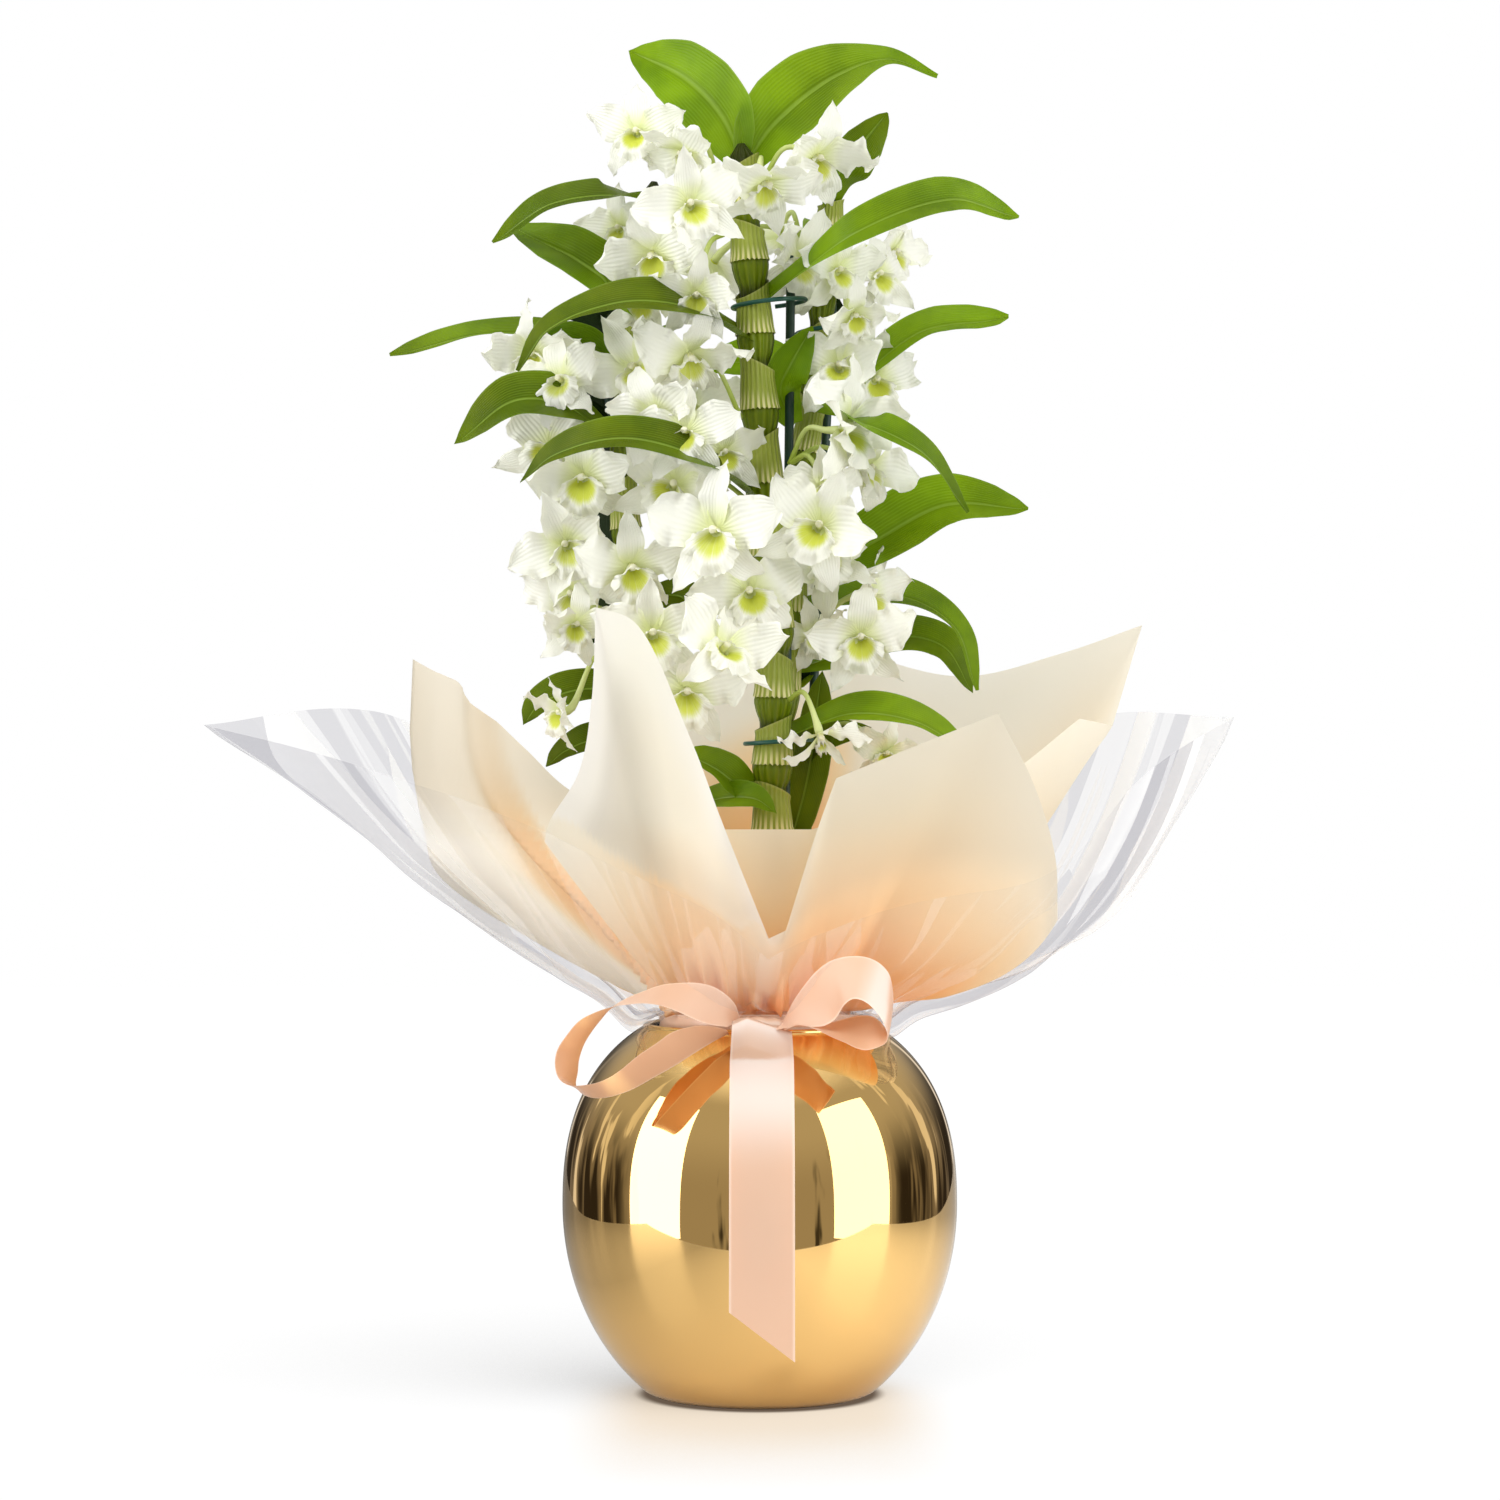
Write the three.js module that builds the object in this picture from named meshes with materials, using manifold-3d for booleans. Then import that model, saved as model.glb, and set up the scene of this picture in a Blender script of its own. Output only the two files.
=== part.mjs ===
// A white dendrobium orchid: three leafy canes with sprays of bloom, in a nursery pot inside a gold globe vase,
// wrapped in two paper sheets and clear cellophane and tied with a satin ribbon. Millimetres, +Z up, front -Y.
import * as THREE from "three";
import { mergeVertices } from "three/addons/utils/BufferGeometryUtils.js";
import Module from "manifold-3d";

const wasm = await Module();
wasm.setup();

// Driving dimensions
const GAP = 0.3; // clearance between pieces that touch
const VASE = {
  radius: 95,
  waist: 91.6, // height of the widest ring
  upperReach: 98.3, // vertical half axis of the upper half
  lowerReach: 110, // vertical half axis of the lower half
  power: 2.4, // squareness of the upper half
  height: 178.8,
  wall: 3.4,
  floor: 4,
  foot: 2, // height and reach of the rounded edge of the foot
  bands: 11,
  sides: 32,
};
const POT = { base: 33, top: 40.5, rim: 42, rimDrop: 7, height: 160, wall: 1.4, drain: 8, sides: 20 };
const BARK = { top: 149, crown: 2, crownRadius: 20 };
const NECK = { low: 152, flare: 184, tilt: 3 }; // the tie is higher in front than behind
const PAPER = 0.8;
const RIBBON = { width: 30, thickness: 0.8 };
const BAND = { height: 11, radius: 48.1, drop: 7, sides: 24 };
const TAIL = { centre: 1, lowLeft: 52, lowRight: 29, off: 1.5 }; // off is its distance from the vase
const CANE_ROOT = 128; // height of the cut ends in the bark
const TEPAL = 0.9;
const PEDICEL = 1.3;
const LEAF = 0.9;

const group = new THREE.Group();

const material = (color, roughness, metalness = 0, extra = {}) =>
  new THREE.MeshStandardMaterial({ color, roughness, metalness, ...extra });
const MATERIALS = {
  gold: () => material(0xd9b264, 0.12, 1),
  pot: () => material(0x3a2f28, 0.6),
  bark: () => material(0x5b3a24, 0.95),
  leaf: () => material(0x5c8a1e, 0.4),
  stake: () => material(0x12352a, 0.5),
  tie: () => material(0x1b4a3a, 0.5),
  petal: () => material(0xfbfaf0, 0.55),
  paper: () => material(0xfbe6c8, 0.6),
  film: () => material(0xf4f6f8, 0.08, 0, { transparent: true, opacity: 0.3 }),
  ribbon: () => material(0xf6cdb0, 0.35),
};

// Solids

const vec = (p) => new THREE.Vector3(...p);

function solidOf(vertices, triangles) {
  const make = (faces) =>
    new wasm.Manifold(
      new wasm.Mesh({
        numProp: 3,
        vertProperties: new Float32Array(vertices.flatMap((v) => [v.x, v.y, v.z])),
        triVerts: new Uint32Array(faces.flat()),
      }),
    );
  const body = make(triangles);
  return body.volume() > 0 ? body : make(triangles.map(([a, b, c]) => [a, c, b]));
}

function fromGeometry(geometry) {
  geometry.deleteAttribute("normal");
  geometry.deleteAttribute("uv");
  const merged = mergeVertices(geometry, 1e-3);
  const position = merged.getAttribute("position");
  const vertices = Array.from({ length: position.count }, (_, i) =>
    new THREE.Vector3().fromBufferAttribute(position, i),
  );
  const triangles = [];
  for (let i = 0; i < merged.index.count; i += 3) {
    const [a, b, c] = [0, 1, 2].map((k) => merged.index.getX(i + k));
    if (a !== b && b !== c && a !== c) triangles.push([a, b, c]);
  }
  return solidOf(vertices, triangles);
}

const largest = (body) => body.decompose().reduce((a, b) => (a.volume() > b.volume() ? a : b));

const join = (bodies) => wasm.Manifold.union(bodies);

function boxesMeet(a, b) {
  const p = a.boundingBox();
  const q = b.boundingBox();
  return [0, 1, 2].every((k) => p.min[k] < q.max[k] && q.min[k] < p.max[k]);
}

// Each placed piece keeps a slightly larger copy of itself, and later pieces are cut back to it.
const keepOuts = [];

function place(name, build, makeMaterial) {
  let body = build(0);
  for (const other of keepOuts) {
    if (boxesMeet(body, other)) body = body.subtract(other);
  }
  body = largest(body);
  keepOuts.push(build(GAP));
  const { numProp, vertProperties, triVerts } = body.getMesh();
  const position = new Float32Array((vertProperties.length / numProp) * 3);
  for (let i = 0; i < position.length; i += 3) {
    position.set(vertProperties.subarray((i / 3) * numProp, (i / 3) * numProp + 3), i);
  }
  const geometry = new THREE.BufferGeometry();
  geometry.setAttribute("position", new THREE.BufferAttribute(position, 3));
  geometry.setIndex(new THREE.BufferAttribute(new Uint32Array(triVerts), 1));
  geometry.computeVertexNormals();
  const mesh = new THREE.Mesh(geometry, makeMaterial());
  mesh.name = name;
  group.add(mesh);
}

// A thin solid on a grid of points: rows run along it and columns across it, or right round it if it is a ring.
function sheet(grid, thickness, { ring = false, grow = 0 } = {}) {
  const rows = grid.length;
  const columns = grid[0].length;
  const points = grid.map((row) => row.map((p) => p.clone()));
  const stretch = (edge, inner, out) => out.add(edge.clone().sub(inner).setLength(grow));
  if (grow) {
    for (let j = 0; j < columns; j++) {
      stretch(grid[0][j], grid[1][j], points[0][j]);
      stretch(grid[rows - 1][j], grid[rows - 2][j], points[rows - 1][j]);
    }
    for (let i = 0; i < rows && !ring; i++) {
      stretch(grid[i][0], grid[i][1], points[i][0]);
      stretch(grid[i][columns - 1], grid[i][columns - 2], points[i][columns - 1]);
    }
  }
  const at = (i, j) => {
    const column = ring ? (j + columns) % columns : THREE.MathUtils.clamp(j, 0, columns - 1);
    return points[THREE.MathUtils.clamp(i, 0, rows - 1)][column];
  };
  const vertices = [];
  for (const side of [1, -1]) {
    for (let i = 0; i < rows; i++) {
      for (let j = 0; j < columns; j++) {
        const across = at(i, j + 1).clone().sub(at(i, j - 1));
        const along = at(i + 1, j).clone().sub(at(i - 1, j));
        const normal = across.cross(along).setLength(side * (thickness / 2 + grow));
        vertices.push(at(i, j).clone().add(normal));
      }
    }
  }
  const triangles = [];
  const index = (layer, i, j) => layer * rows * columns + i * columns + (j % columns);
  const quad = (a, b, c, d) => triangles.push([a, b, c], [a, c, d]);
  const spans = ring ? columns : columns - 1;
  for (let j = 0; j < spans; j++) {
    for (let i = 0; i < rows - 1; i++) {
      const corners = [[i, j], [i, j + 1], [i + 1, j + 1], [i + 1, j]];
      const [a, b, c, d] = corners.map(([u, v]) => index(0, u, v));
      const [e, f, g, h] = corners.map(([u, v]) => index(1, u, v));
      quad(a, b, c, d);
      triangles.push([e, g, f], [e, h, g]);
    }
    quad(index(0, 0, j + 1), index(0, 0, j), index(1, 0, j), index(1, 0, j + 1));
    const last = rows - 1;
    quad(index(0, last, j), index(0, last, j + 1), index(1, last, j + 1), index(1, last, j));
  }
  for (let i = 0; i < rows - 1 && !ring; i++) {
    const last = columns - 1;
    quad(index(0, i, 0), index(0, i + 1, 0), index(1, i + 1, 0), index(1, i, 0));
    quad(index(0, i + 1, last), index(0, i, last), index(1, i, last), index(1, i + 1, last));
  }
  return solidOf(vertices, triangles);
}

// A rod along a smooth curve, with a section of a few sides.
function rod(points, radius, sides, steps) {
  const section = new THREE.Shape();
  for (let k = 0; k < sides; k++) {
    const angle = (2 * Math.PI * k) / sides;
    const [x, y] = [radius * Math.cos(angle), radius * Math.sin(angle)];
    if (k) section.lineTo(x, y);
    else section.moveTo(x, y);
  }
  section.closePath();
  const extrudePath = new THREE.CatmullRomCurve3(points.map(vec));
  return fromGeometry(new THREE.ExtrudeGeometry(section, { steps, extrudePath }));
}

const lathe = (profile, segments) =>
  fromGeometry(
    new THREE.LatheGeometry(profile.map(([r, z]) => new THREE.Vector2(r, z)), segments).rotateX(Math.PI / 2),
  );

// Vase, pot and bark

function vaseRadius(z) {
  const rise = z - VASE.waist;
  if (rise > 0) return VASE.radius * (1 - (rise / VASE.upperReach) ** VASE.power) ** (1 / VASE.power);
  return VASE.radius * Math.sqrt(1 - (rise / VASE.lowerReach) ** 2);
}

function vase(grow) {
  const { foot, bands, wall, floor, height } = VASE;
  const crowding = 0.35; // how far the levels draw together at the foot and the mouth
  const levels = Array.from({ length: bands }, (_, i) => {
    const even = i / (bands - 1);
    const crowded = (1 - Math.cos(Math.PI * even)) / 2;
    return foot + (height - foot) * THREE.MathUtils.lerp(even, crowded, crowding);
  });
  const fillet = 4;
  const outer = levels.map((z) => [vaseRadius(z) + grow, z]);
  const inner = levels
    .filter((z, i) => z > floor + fillet && i % 2 === 0)
    .map((z) => [vaseRadius(z) - wall - grow, z])
    .reverse();
  outer[bands - 1][1] += grow;
  inner[0][1] += grow;
  const underside = [[0, -grow], [vaseRadius(0) - foot + grow, -grow]];
  const bowl = [[vaseRadius(floor) - wall - fillet - grow, floor + grow], [0, floor + grow]];
  return lathe([...underside, ...outer, ...inner, ...bowl], VASE.sides);
}

const POT_BASE = VASE.floor + GAP;
const potRadius = (z) => POT.base + ((POT.top - POT.base) * (z - POT_BASE)) / (POT.height - POT_BASE);

function pot(grow) {
  const inside = (z) => potRadius(z) - POT.wall - grow;
  const profile = [
    [POT.drain - grow, POT_BASE - grow],
    [POT.base + grow, POT_BASE - grow],
    [potRadius(POT.height - POT.rimDrop) + grow, POT.height - POT.rimDrop - grow],
    [POT.rim + grow, POT.height - POT.rimDrop - grow],
    [POT.rim + grow, POT.height + grow],
    [inside(POT.height), POT.height + grow],
    [inside(POT_BASE), POT_BASE + POT.wall + grow],
    [POT.drain - grow, POT_BASE + POT.wall + grow],
  ];
  return lathe([...profile, profile[0]], POT.sides);
}

// The bark fills the pot round the canes and stakes, which stand in holes in it.
function bark(grow) {
  const base = POT_BASE + POT.wall + GAP;
  const inside = (z) => potRadius(z) - POT.wall - 2 * GAP + grow;
  const crown = BARK.top + BARK.crown;
  const side = [[inside(base), base], [inside(BARK.top), BARK.top]];
  const profile = [[0, base], ...side, [BARK.crownRadius, crown], [0, crown]];
  return lathe(profile, POT.sides);
}

// Canes and stakes, as the points that their centre lines run through, from the bark up.
const CANES = {
  front: {
    radius: 10.2,
    sides: 6,
    internode: 35,
    line: [[4, -12, CANE_ROOT], [6, -12, 238], [6, -14, 300], [7, -15, 363], [2, -15, 439], [-2, -15, 506],
      [-7, -15, 573], [-9, -15, 600]],
  },
  left: {
    radius: 8,
    sides: 5,
    internode: 50,
    line: [[-19, 8, CANE_ROOT], [-28, 8, 230], [-44, 8, 305], [-55, 8, 363], [-65, 8, 421], [-65, 8, 465],
      [-61, 8, 508], [-51, 8, 585]],
  },
  right: {
    radius: 8,
    sides: 5,
    internode: 50,
    line: [[8, 18, CANE_ROOT], [9, 19, 230], [12, 20, 334], [16, 22, 383], [20, 22, 442], [26, 22, 481],
      [30, 22, 524], [35, 22, 580]],
  },
};
const STAKES = {
  front: [[10, 1, 40], [15, -2, 548]],
  left: [[-14, 19, 40], [-77, 20, 508]],
  right: [[12, 24, 40], [36, 35, 536]],
};
const STAKE_RADIUS = 2.2;

const caneCurve = (cane) => new THREE.CatmullRomCurve3(cane.line.map(vec));

// The radius swells over each sheath and draws in at the bare stem under the next node. Each pair is a share of the
// internode and the swell there.
const INTERNODE = [[0, 1.02], [0.64, 1], [0.7, 0.84]];
const CANE_TAPER = 0.14;
const CANE_TIP = 0.5;

function caneBody(cane, grow) {
  const curve = caneCurve(cane);
  const length = curve.getLength();
  const internodes = Math.round(length / cane.internode);
  const rings = [];
  for (let k = 0; k < internodes; k++) {
    for (const [share, swell] of INTERNODE) {
      const t = (k + share) / internodes;
      rings.push([t, cane.radius * swell * (1 - CANE_TAPER * t) + grow]);
    }
  }
  rings.push([1, cane.radius * CANE_TIP + grow]);
  const vertices = [];
  for (const [t, radius] of rings) {
    const centre = curve.getPointAt(t);
    const tangent = curve.getTangentAt(t);
    const across = new THREE.Vector3(0, 1, 0).cross(tangent).normalize();
    const away = tangent.clone().cross(across);
    for (let j = 0; j < cane.sides; j++) {
      const angle = (2 * Math.PI * (j + 0.5)) / cane.sides;
      const point = centre.clone().addScaledVector(across, radius * Math.cos(angle));
      vertices.push(point.addScaledVector(away, radius * Math.sin(angle)));
    }
  }
  const triangles = [];
  const { sides } = cane;
  for (let i = 0; i < rings.length - 1; i++) {
    for (let j = 0; j < sides; j++) {
      const [a, b] = [i * sides + j, i * sides + ((j + 1) % sides)];
      triangles.push([a, b, b + sides], [a, b + sides, a + sides]);
    }
  }
  const top = (rings.length - 1) * sides;
  for (let j = 1; j < sides - 1; j++) {
    triangles.push([0, j + 1, j], [top, top + j, top + j + 1]);
  }
  return solidOf(vertices, triangles);
}

// A leaf is a thin arched blade: a line of points, a full width and the way that its upper face looks, where that
// isn't the usual one.
const USUAL_FACE = [0, -0.75, 0.65];
const KEEL = 0.22; // depth of the fold along the midrib, as a share of half the width
const LEAVES = {
  front: [
    { line: [[-9, -14, 592], [-21, -10, 620], [-39, -2, 637], [-64, 10, 649]], width: 35,
      face: [-0.35, -0.9, 0.3] },
    { line: [[-8, -14, 592], [8, -12, 618], [43, -4, 633], [88, 8, 637]], width: 35,
      face: [0.1, -0.85, 0.5] },
    { line: [[2, -15, 528], [46, -20, 560], [92, -26, 575], [123, -30, 563]], width: 25,
      face: [-0.1, -0.75, 0.65] },
    { line: [[-4, -15, 508], [-33, -30, 524], [-66, -42, 525], [-101, -50, 510], [-114, -52, 488]],
      width: 25 },
    { line: [[0, -15, 432], [-28, -28, 453], [-66, -38, 461], [-99, -44, 451], [-113, -46, 436]], width: 26 },
    { line: [[10, -14, 318], [43, -30, 331], [76, -40, 326], [101, -46, 308]], width: 25 },
    { line: [[1, -15, 286], [-19, -26, 303], [-34, -33, 309]], width: 22, face: [0.2, -0.75, 0.65] },
  ],
  left: [
    { line: [[-51, 8, 578], [-72, 0, 581], [-103, -8, 574], [-128, -14, 553]], width: 20 },
    { line: [[-60, 7, 523], [-72, 9, 540], [-92, 13, 554], [-123, 22, 567]], width: 32,
      face: [0.4, -0.8, 0.4] },
    { line: [[-62, 8, 501], [-96, 0, 512], [-134, -8, 513], [-177, -16, 499]], width: 22 },
    { line: [[-62, 8, 486], [-84, -3, 505], [-108, -10, 512]], width: 24, face: [0.3, -0.8, 0.5] },
    { line: [[-64, 8, 458], [-91, -6, 479], [-119, -14, 480], [-146, -20, 456]], width: 31 },
    { line: [[-49, 8, 336], [-84, 4, 342], [-106, 0, 334], [-114, -2, 322]], width: 21 },
    { line: [[-44, 8, 303], [-77, 6, 317], [-94, 2, 311], [-103, 0, 302]], width: 18 },
    { line: [[-56, 8, 384], [-36, 0, 384], [-24, -6, 356]], width: 18, face: [0.3, -0.9, 0.2] },
    { line: [[-62, 10, 500], [-58, 50, 520], [-52, 88, 512]], width: 26, face: [0, 0.3, 0.9] },
  ],
  right: [
    { line: [[34, 22, 573], [42, 18, 592], [62, 12, 619]], width: 19, face: [0.5, -0.75, 0.3] },
    { line: [[26, 22, 480], [46, 16, 493], [80, 8, 517], [120, 0, 519]], width: 24,
      face: [-0.2, -0.75, 0.65] },
    { line: [[25, 21, 478], [53, 8, 471], [82, -2, 454], [100, -10, 424]], width: 20,
      face: [0.2, -0.75, 0.65] },
    { line: [[19, 21, 398], [48, 6, 415], [92, 0, 437], [128, -6, 426]], width: 26,
      face: [-0.1, -0.75, 0.65] },
    { line: [[18, 22, 381], [71, 28, 388], [98, 24, 371], [106, 20, 339]], width: 25,
      face: [0.2, -0.75, 0.65] },
    { line: [[17, 21, 350], [69, 38, 368], [92, 40, 362], [105, 42, 338]], width: 20,
      face: [0.2, -0.75, 0.65] },
    { line: [[25, 23, 478], [0, 42, 503], [-34, 52, 500]], width: 24, face: [0, -0.8, 0.5] },
    { line: [[32, 24, 552], [36, 60, 574], [40, 96, 566]], width: 28, face: [0, 0.3, 0.9] },
    { line: [[16, 22, 340], [22, 54, 362], [28, 84, 358]], width: 22, face: [0, 0.3, 0.9] },
  ],
};
const LEAF_OUTLINE = [[0, 0.35], [0.24, 0.82], [0.52, 1], [0.82, 0.72], [1, 0.1]]; // share of length, of width

function leaf({ line, width, face = USUAL_FACE }, grow) {
  const curve = new THREE.CatmullRomCurve3(line.map(vec));
  const up = vec(face).normalize();
  const grid = LEAF_OUTLINE.map(([t, share]) => {
    const centre = curve.getPointAt(t);
    const side = curve.getTangentAt(t).cross(up).normalize();
    const half = (width * share) / 2;
    const keel = up.clone().multiplyScalar(-KEEL * half);
    return [
      centre.clone().addScaledVector(side, -half),
      centre.clone().add(keel),
      centre.clone().addScaledVector(side, half),
    ];
  });
  return sheet(grid, LEAF, { grow });
}

// Blooms

const SEPAL = { length: 31, widest: 0.47, half: 6.8, blunt: [0], rise: 2, tipLift: -1.5 };
const PETAL = { length: 32, widest: 0.52, half: 9.8, blunt: [-4.2, 4.2], rise: 2, tipLift: -1 };
const TEPALS = [SEPAL, PETAL, SEPAL, SEPAL, PETAL]; // from the top, clockwise
const VALLEY = 4.5;

// The flower's own frame: x across it, y up it and z the way it faces.
function bloomFrame({ at, turn = 0, tip = 0, roll = 0 }) {
  const [azimuth, elevation] = [turn, tip].map(THREE.MathUtils.degToRad);
  const facing = new THREE.Vector3(
    Math.sin(azimuth) * Math.cos(elevation),
    -Math.cos(azimuth) * Math.cos(elevation),
    Math.sin(elevation),
  );
  const across = new THREE.Vector3(0, 0, 1).cross(facing).normalize();
  const up = facing.clone().cross(across);
  return new THREE.Matrix4()
    .makeBasis(across, up, facing)
    .setPosition(...at)
    .multiply(new THREE.Matrix4().makeRotationZ(THREE.MathUtils.degToRad(roll)));
}

// A bloom is one closed surface: five tepals, a lip that flares from a collar at their centre, and the pedicel.
const COLLAR = 2.4;
const LIP = { sides: 10, radius: 13, squash: 0.92, drop: 6.5, reach: 9.5, lean: 2.5, throat: 2.6 };
const SPINE_DEPTH = 1.4; // how far a tepal's midline lies below its widest points
const ARCH = { behind: 8, rise: 7, overrun: 0.08 }; // how the pedicel leaves the bloom and meets the root

// The pedicel's sections, from behind the bloom to the spray's root, each a ring with a point for each tepal.
function pedicelRings(root, frame, size, grow) {
  const back = new THREE.Vector3(0, 1, -ARCH.behind * size).applyMatrix4(frame);
  const arch = vec(root).lerp(back, 0.5);
  arch.z += ARCH.rise;
  const into = vec(root).lerp(arch, -ARCH.overrun);
  const curve = new THREE.CatmullRomCurve3([new THREE.Vector3().applyMatrix4(frame), back, arch, into]);
  const [across, up, facing] = [0, 1, 2].map((k) => new THREE.Vector3().setFromMatrixColumn(frame, k));
  return [0.45, 1].map((t) => {
    const centre = curve.getPoint(t);
    const along = curve.getTangent(t).negate();
    const swing = new THREE.Quaternion().setFromUnitVectors(facing, along);
    return TEPALS.map((_, k) => {
      const angle = Math.PI / 2 - (k - 0.5) * ((2 * Math.PI) / TEPALS.length);
      const offset = across.clone().multiplyScalar(Math.cos(angle)).addScaledVector(up, Math.sin(angle));
      return centre.clone().addScaledVector(offset.applyQuaternion(swing), PEDICEL + grow);
    });
  });
}

function bloom(root, spec, grow) {
  const frame = bloomFrame(spec);
  const { size = 1 } = spec;
  const count = TEPALS.length;
  const step = (2 * Math.PI) / count;
  const vertices = [];
  const triangles = [];
  const put = (x, y, lift) => vertices.push(new THREE.Vector3(x, y, lift).applyMatrix4(frame)) - 1;
  const half = TEPAL / 2 + grow;

  // One face of the star, at a height above or below its middle surface.
  const face = (lift, collarRadius) =>
    TEPALS.map(({ length, widest, half: wide, blunt, rise, tipLift }, k) => {
      const angle = Math.PI / 2 - k * step;
      const [c, s] = [Math.cos(angle), Math.sin(angle)];
      const reach = length * size + grow;
      const along = (d, w, z) => put(c * d + s * w, s * d - c * w, z * size + lift);
      const valley = angle + step / 2;
      const ring = (radius) => put(radius * Math.cos(valley), radius * Math.sin(valley), lift);
      return {
        collar: ring(collarRadius + grow),
        first: ring(VALLEY * size + grow),
        left: along(widest * reach, -wide * size - grow, rise),
        tips: blunt.map((w) => along(reach, w * size + Math.sign(w) * grow, tipLift)),
        right: along(widest * reach, wide * size + grow, rise),
        spine: along(widest * reach, 0, rise - SPINE_DEPTH),
      };
    });
  const cover = (tepals, flip) => {
    const add = (a, b, c) => triangles.push(flip ? [a, c, b] : [a, b, c]);
    tepals.forEach(({ collar, first, left, right, spine, tips }, k) => {
      const next = tepals[(k + 1) % count];
      add(collar, spine, first);
      add(collar, next.collar, spine);
      add(next.collar, next.first, spine);
      add(first, spine, left);
      add(spine, next.first, right);
      add(left, spine, tips[0]);
      if (tips.length > 1) add(spine, tips[1], tips[0]);
      add(spine, right, tips[tips.length - 1]);
    });
  };
  const front = face(half, COLLAR * size);
  const back = face(-half, PEDICEL);
  cover(front, false);
  cover(back, true);
  const rimOf = (tepals) => tepals.flatMap(({ first, left, tips, right }) => [first, left, ...tips, right]);
  const [frontRim, backRim] = [rimOf(front), rimOf(back)];
  frontRim.forEach((a, i) => {
    const n = (i + 1) % frontRim.length;
    triangles.push([a, frontRim[n], backRim[n]], [a, backRim[n], backRim[i]]);
  });

  // The lip opens forwards from the collar.
  const rim = Array.from({ length: LIP.sides }, (_, k) => {
    const angle = Math.PI / 2 + step / 2 - (2 * Math.PI * k) / LIP.sides;
    const [x, y] = [Math.cos(angle), Math.sin(angle)];
    const radius = LIP.radius * size + grow;
    return put(radius * x, radius * LIP.squash * y - LIP.drop * size, (LIP.reach - LIP.lean * y) * size + grow);
  });
  const throat = put(0, -0.5, LIP.throat * size);
  front.forEach(({ collar }, k) => {
    const [a, b, c] = [2 * k, 2 * k + 1, (2 * k + 2) % LIP.sides].map((i) => rim[i]);
    const next = front[(k + 1) % count].collar;
    triangles.push([collar, a, b], [collar, b, next], [next, b, c]);
  });
  rim.forEach((a, k) => triangles.push([throat, rim[(k + 1) % LIP.sides], a]));

  // The pedicel runs on from the back of the star and is closed at the root.
  const sections = pedicelRings(root, frame, size, grow).map((ring) => ring.map((p) => vertices.push(p) - 1));
  [back.map(({ collar }) => collar), ...sections].forEach((ring, i, rings) => {
    if (i === rings.length - 1) return;
    ring.forEach((a, k) => {
      const n = (k + 1) % count;
      triangles.push([a, ring[n], rings[i + 1][n]], [a, rings[i + 1][n], rings[i + 1][k]]);
    });
  });
  const end = sections[sections.length - 1];
  for (let k = 1; k < count - 1; k++) triangles.push([end[0], end[k], end[k + 1]]);
  return solidOf(vertices, triangles);
}

const spray = ({ root, blooms }, grow) => join(blooms.map((spec) => bloom(root, spec, grow)));

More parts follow.
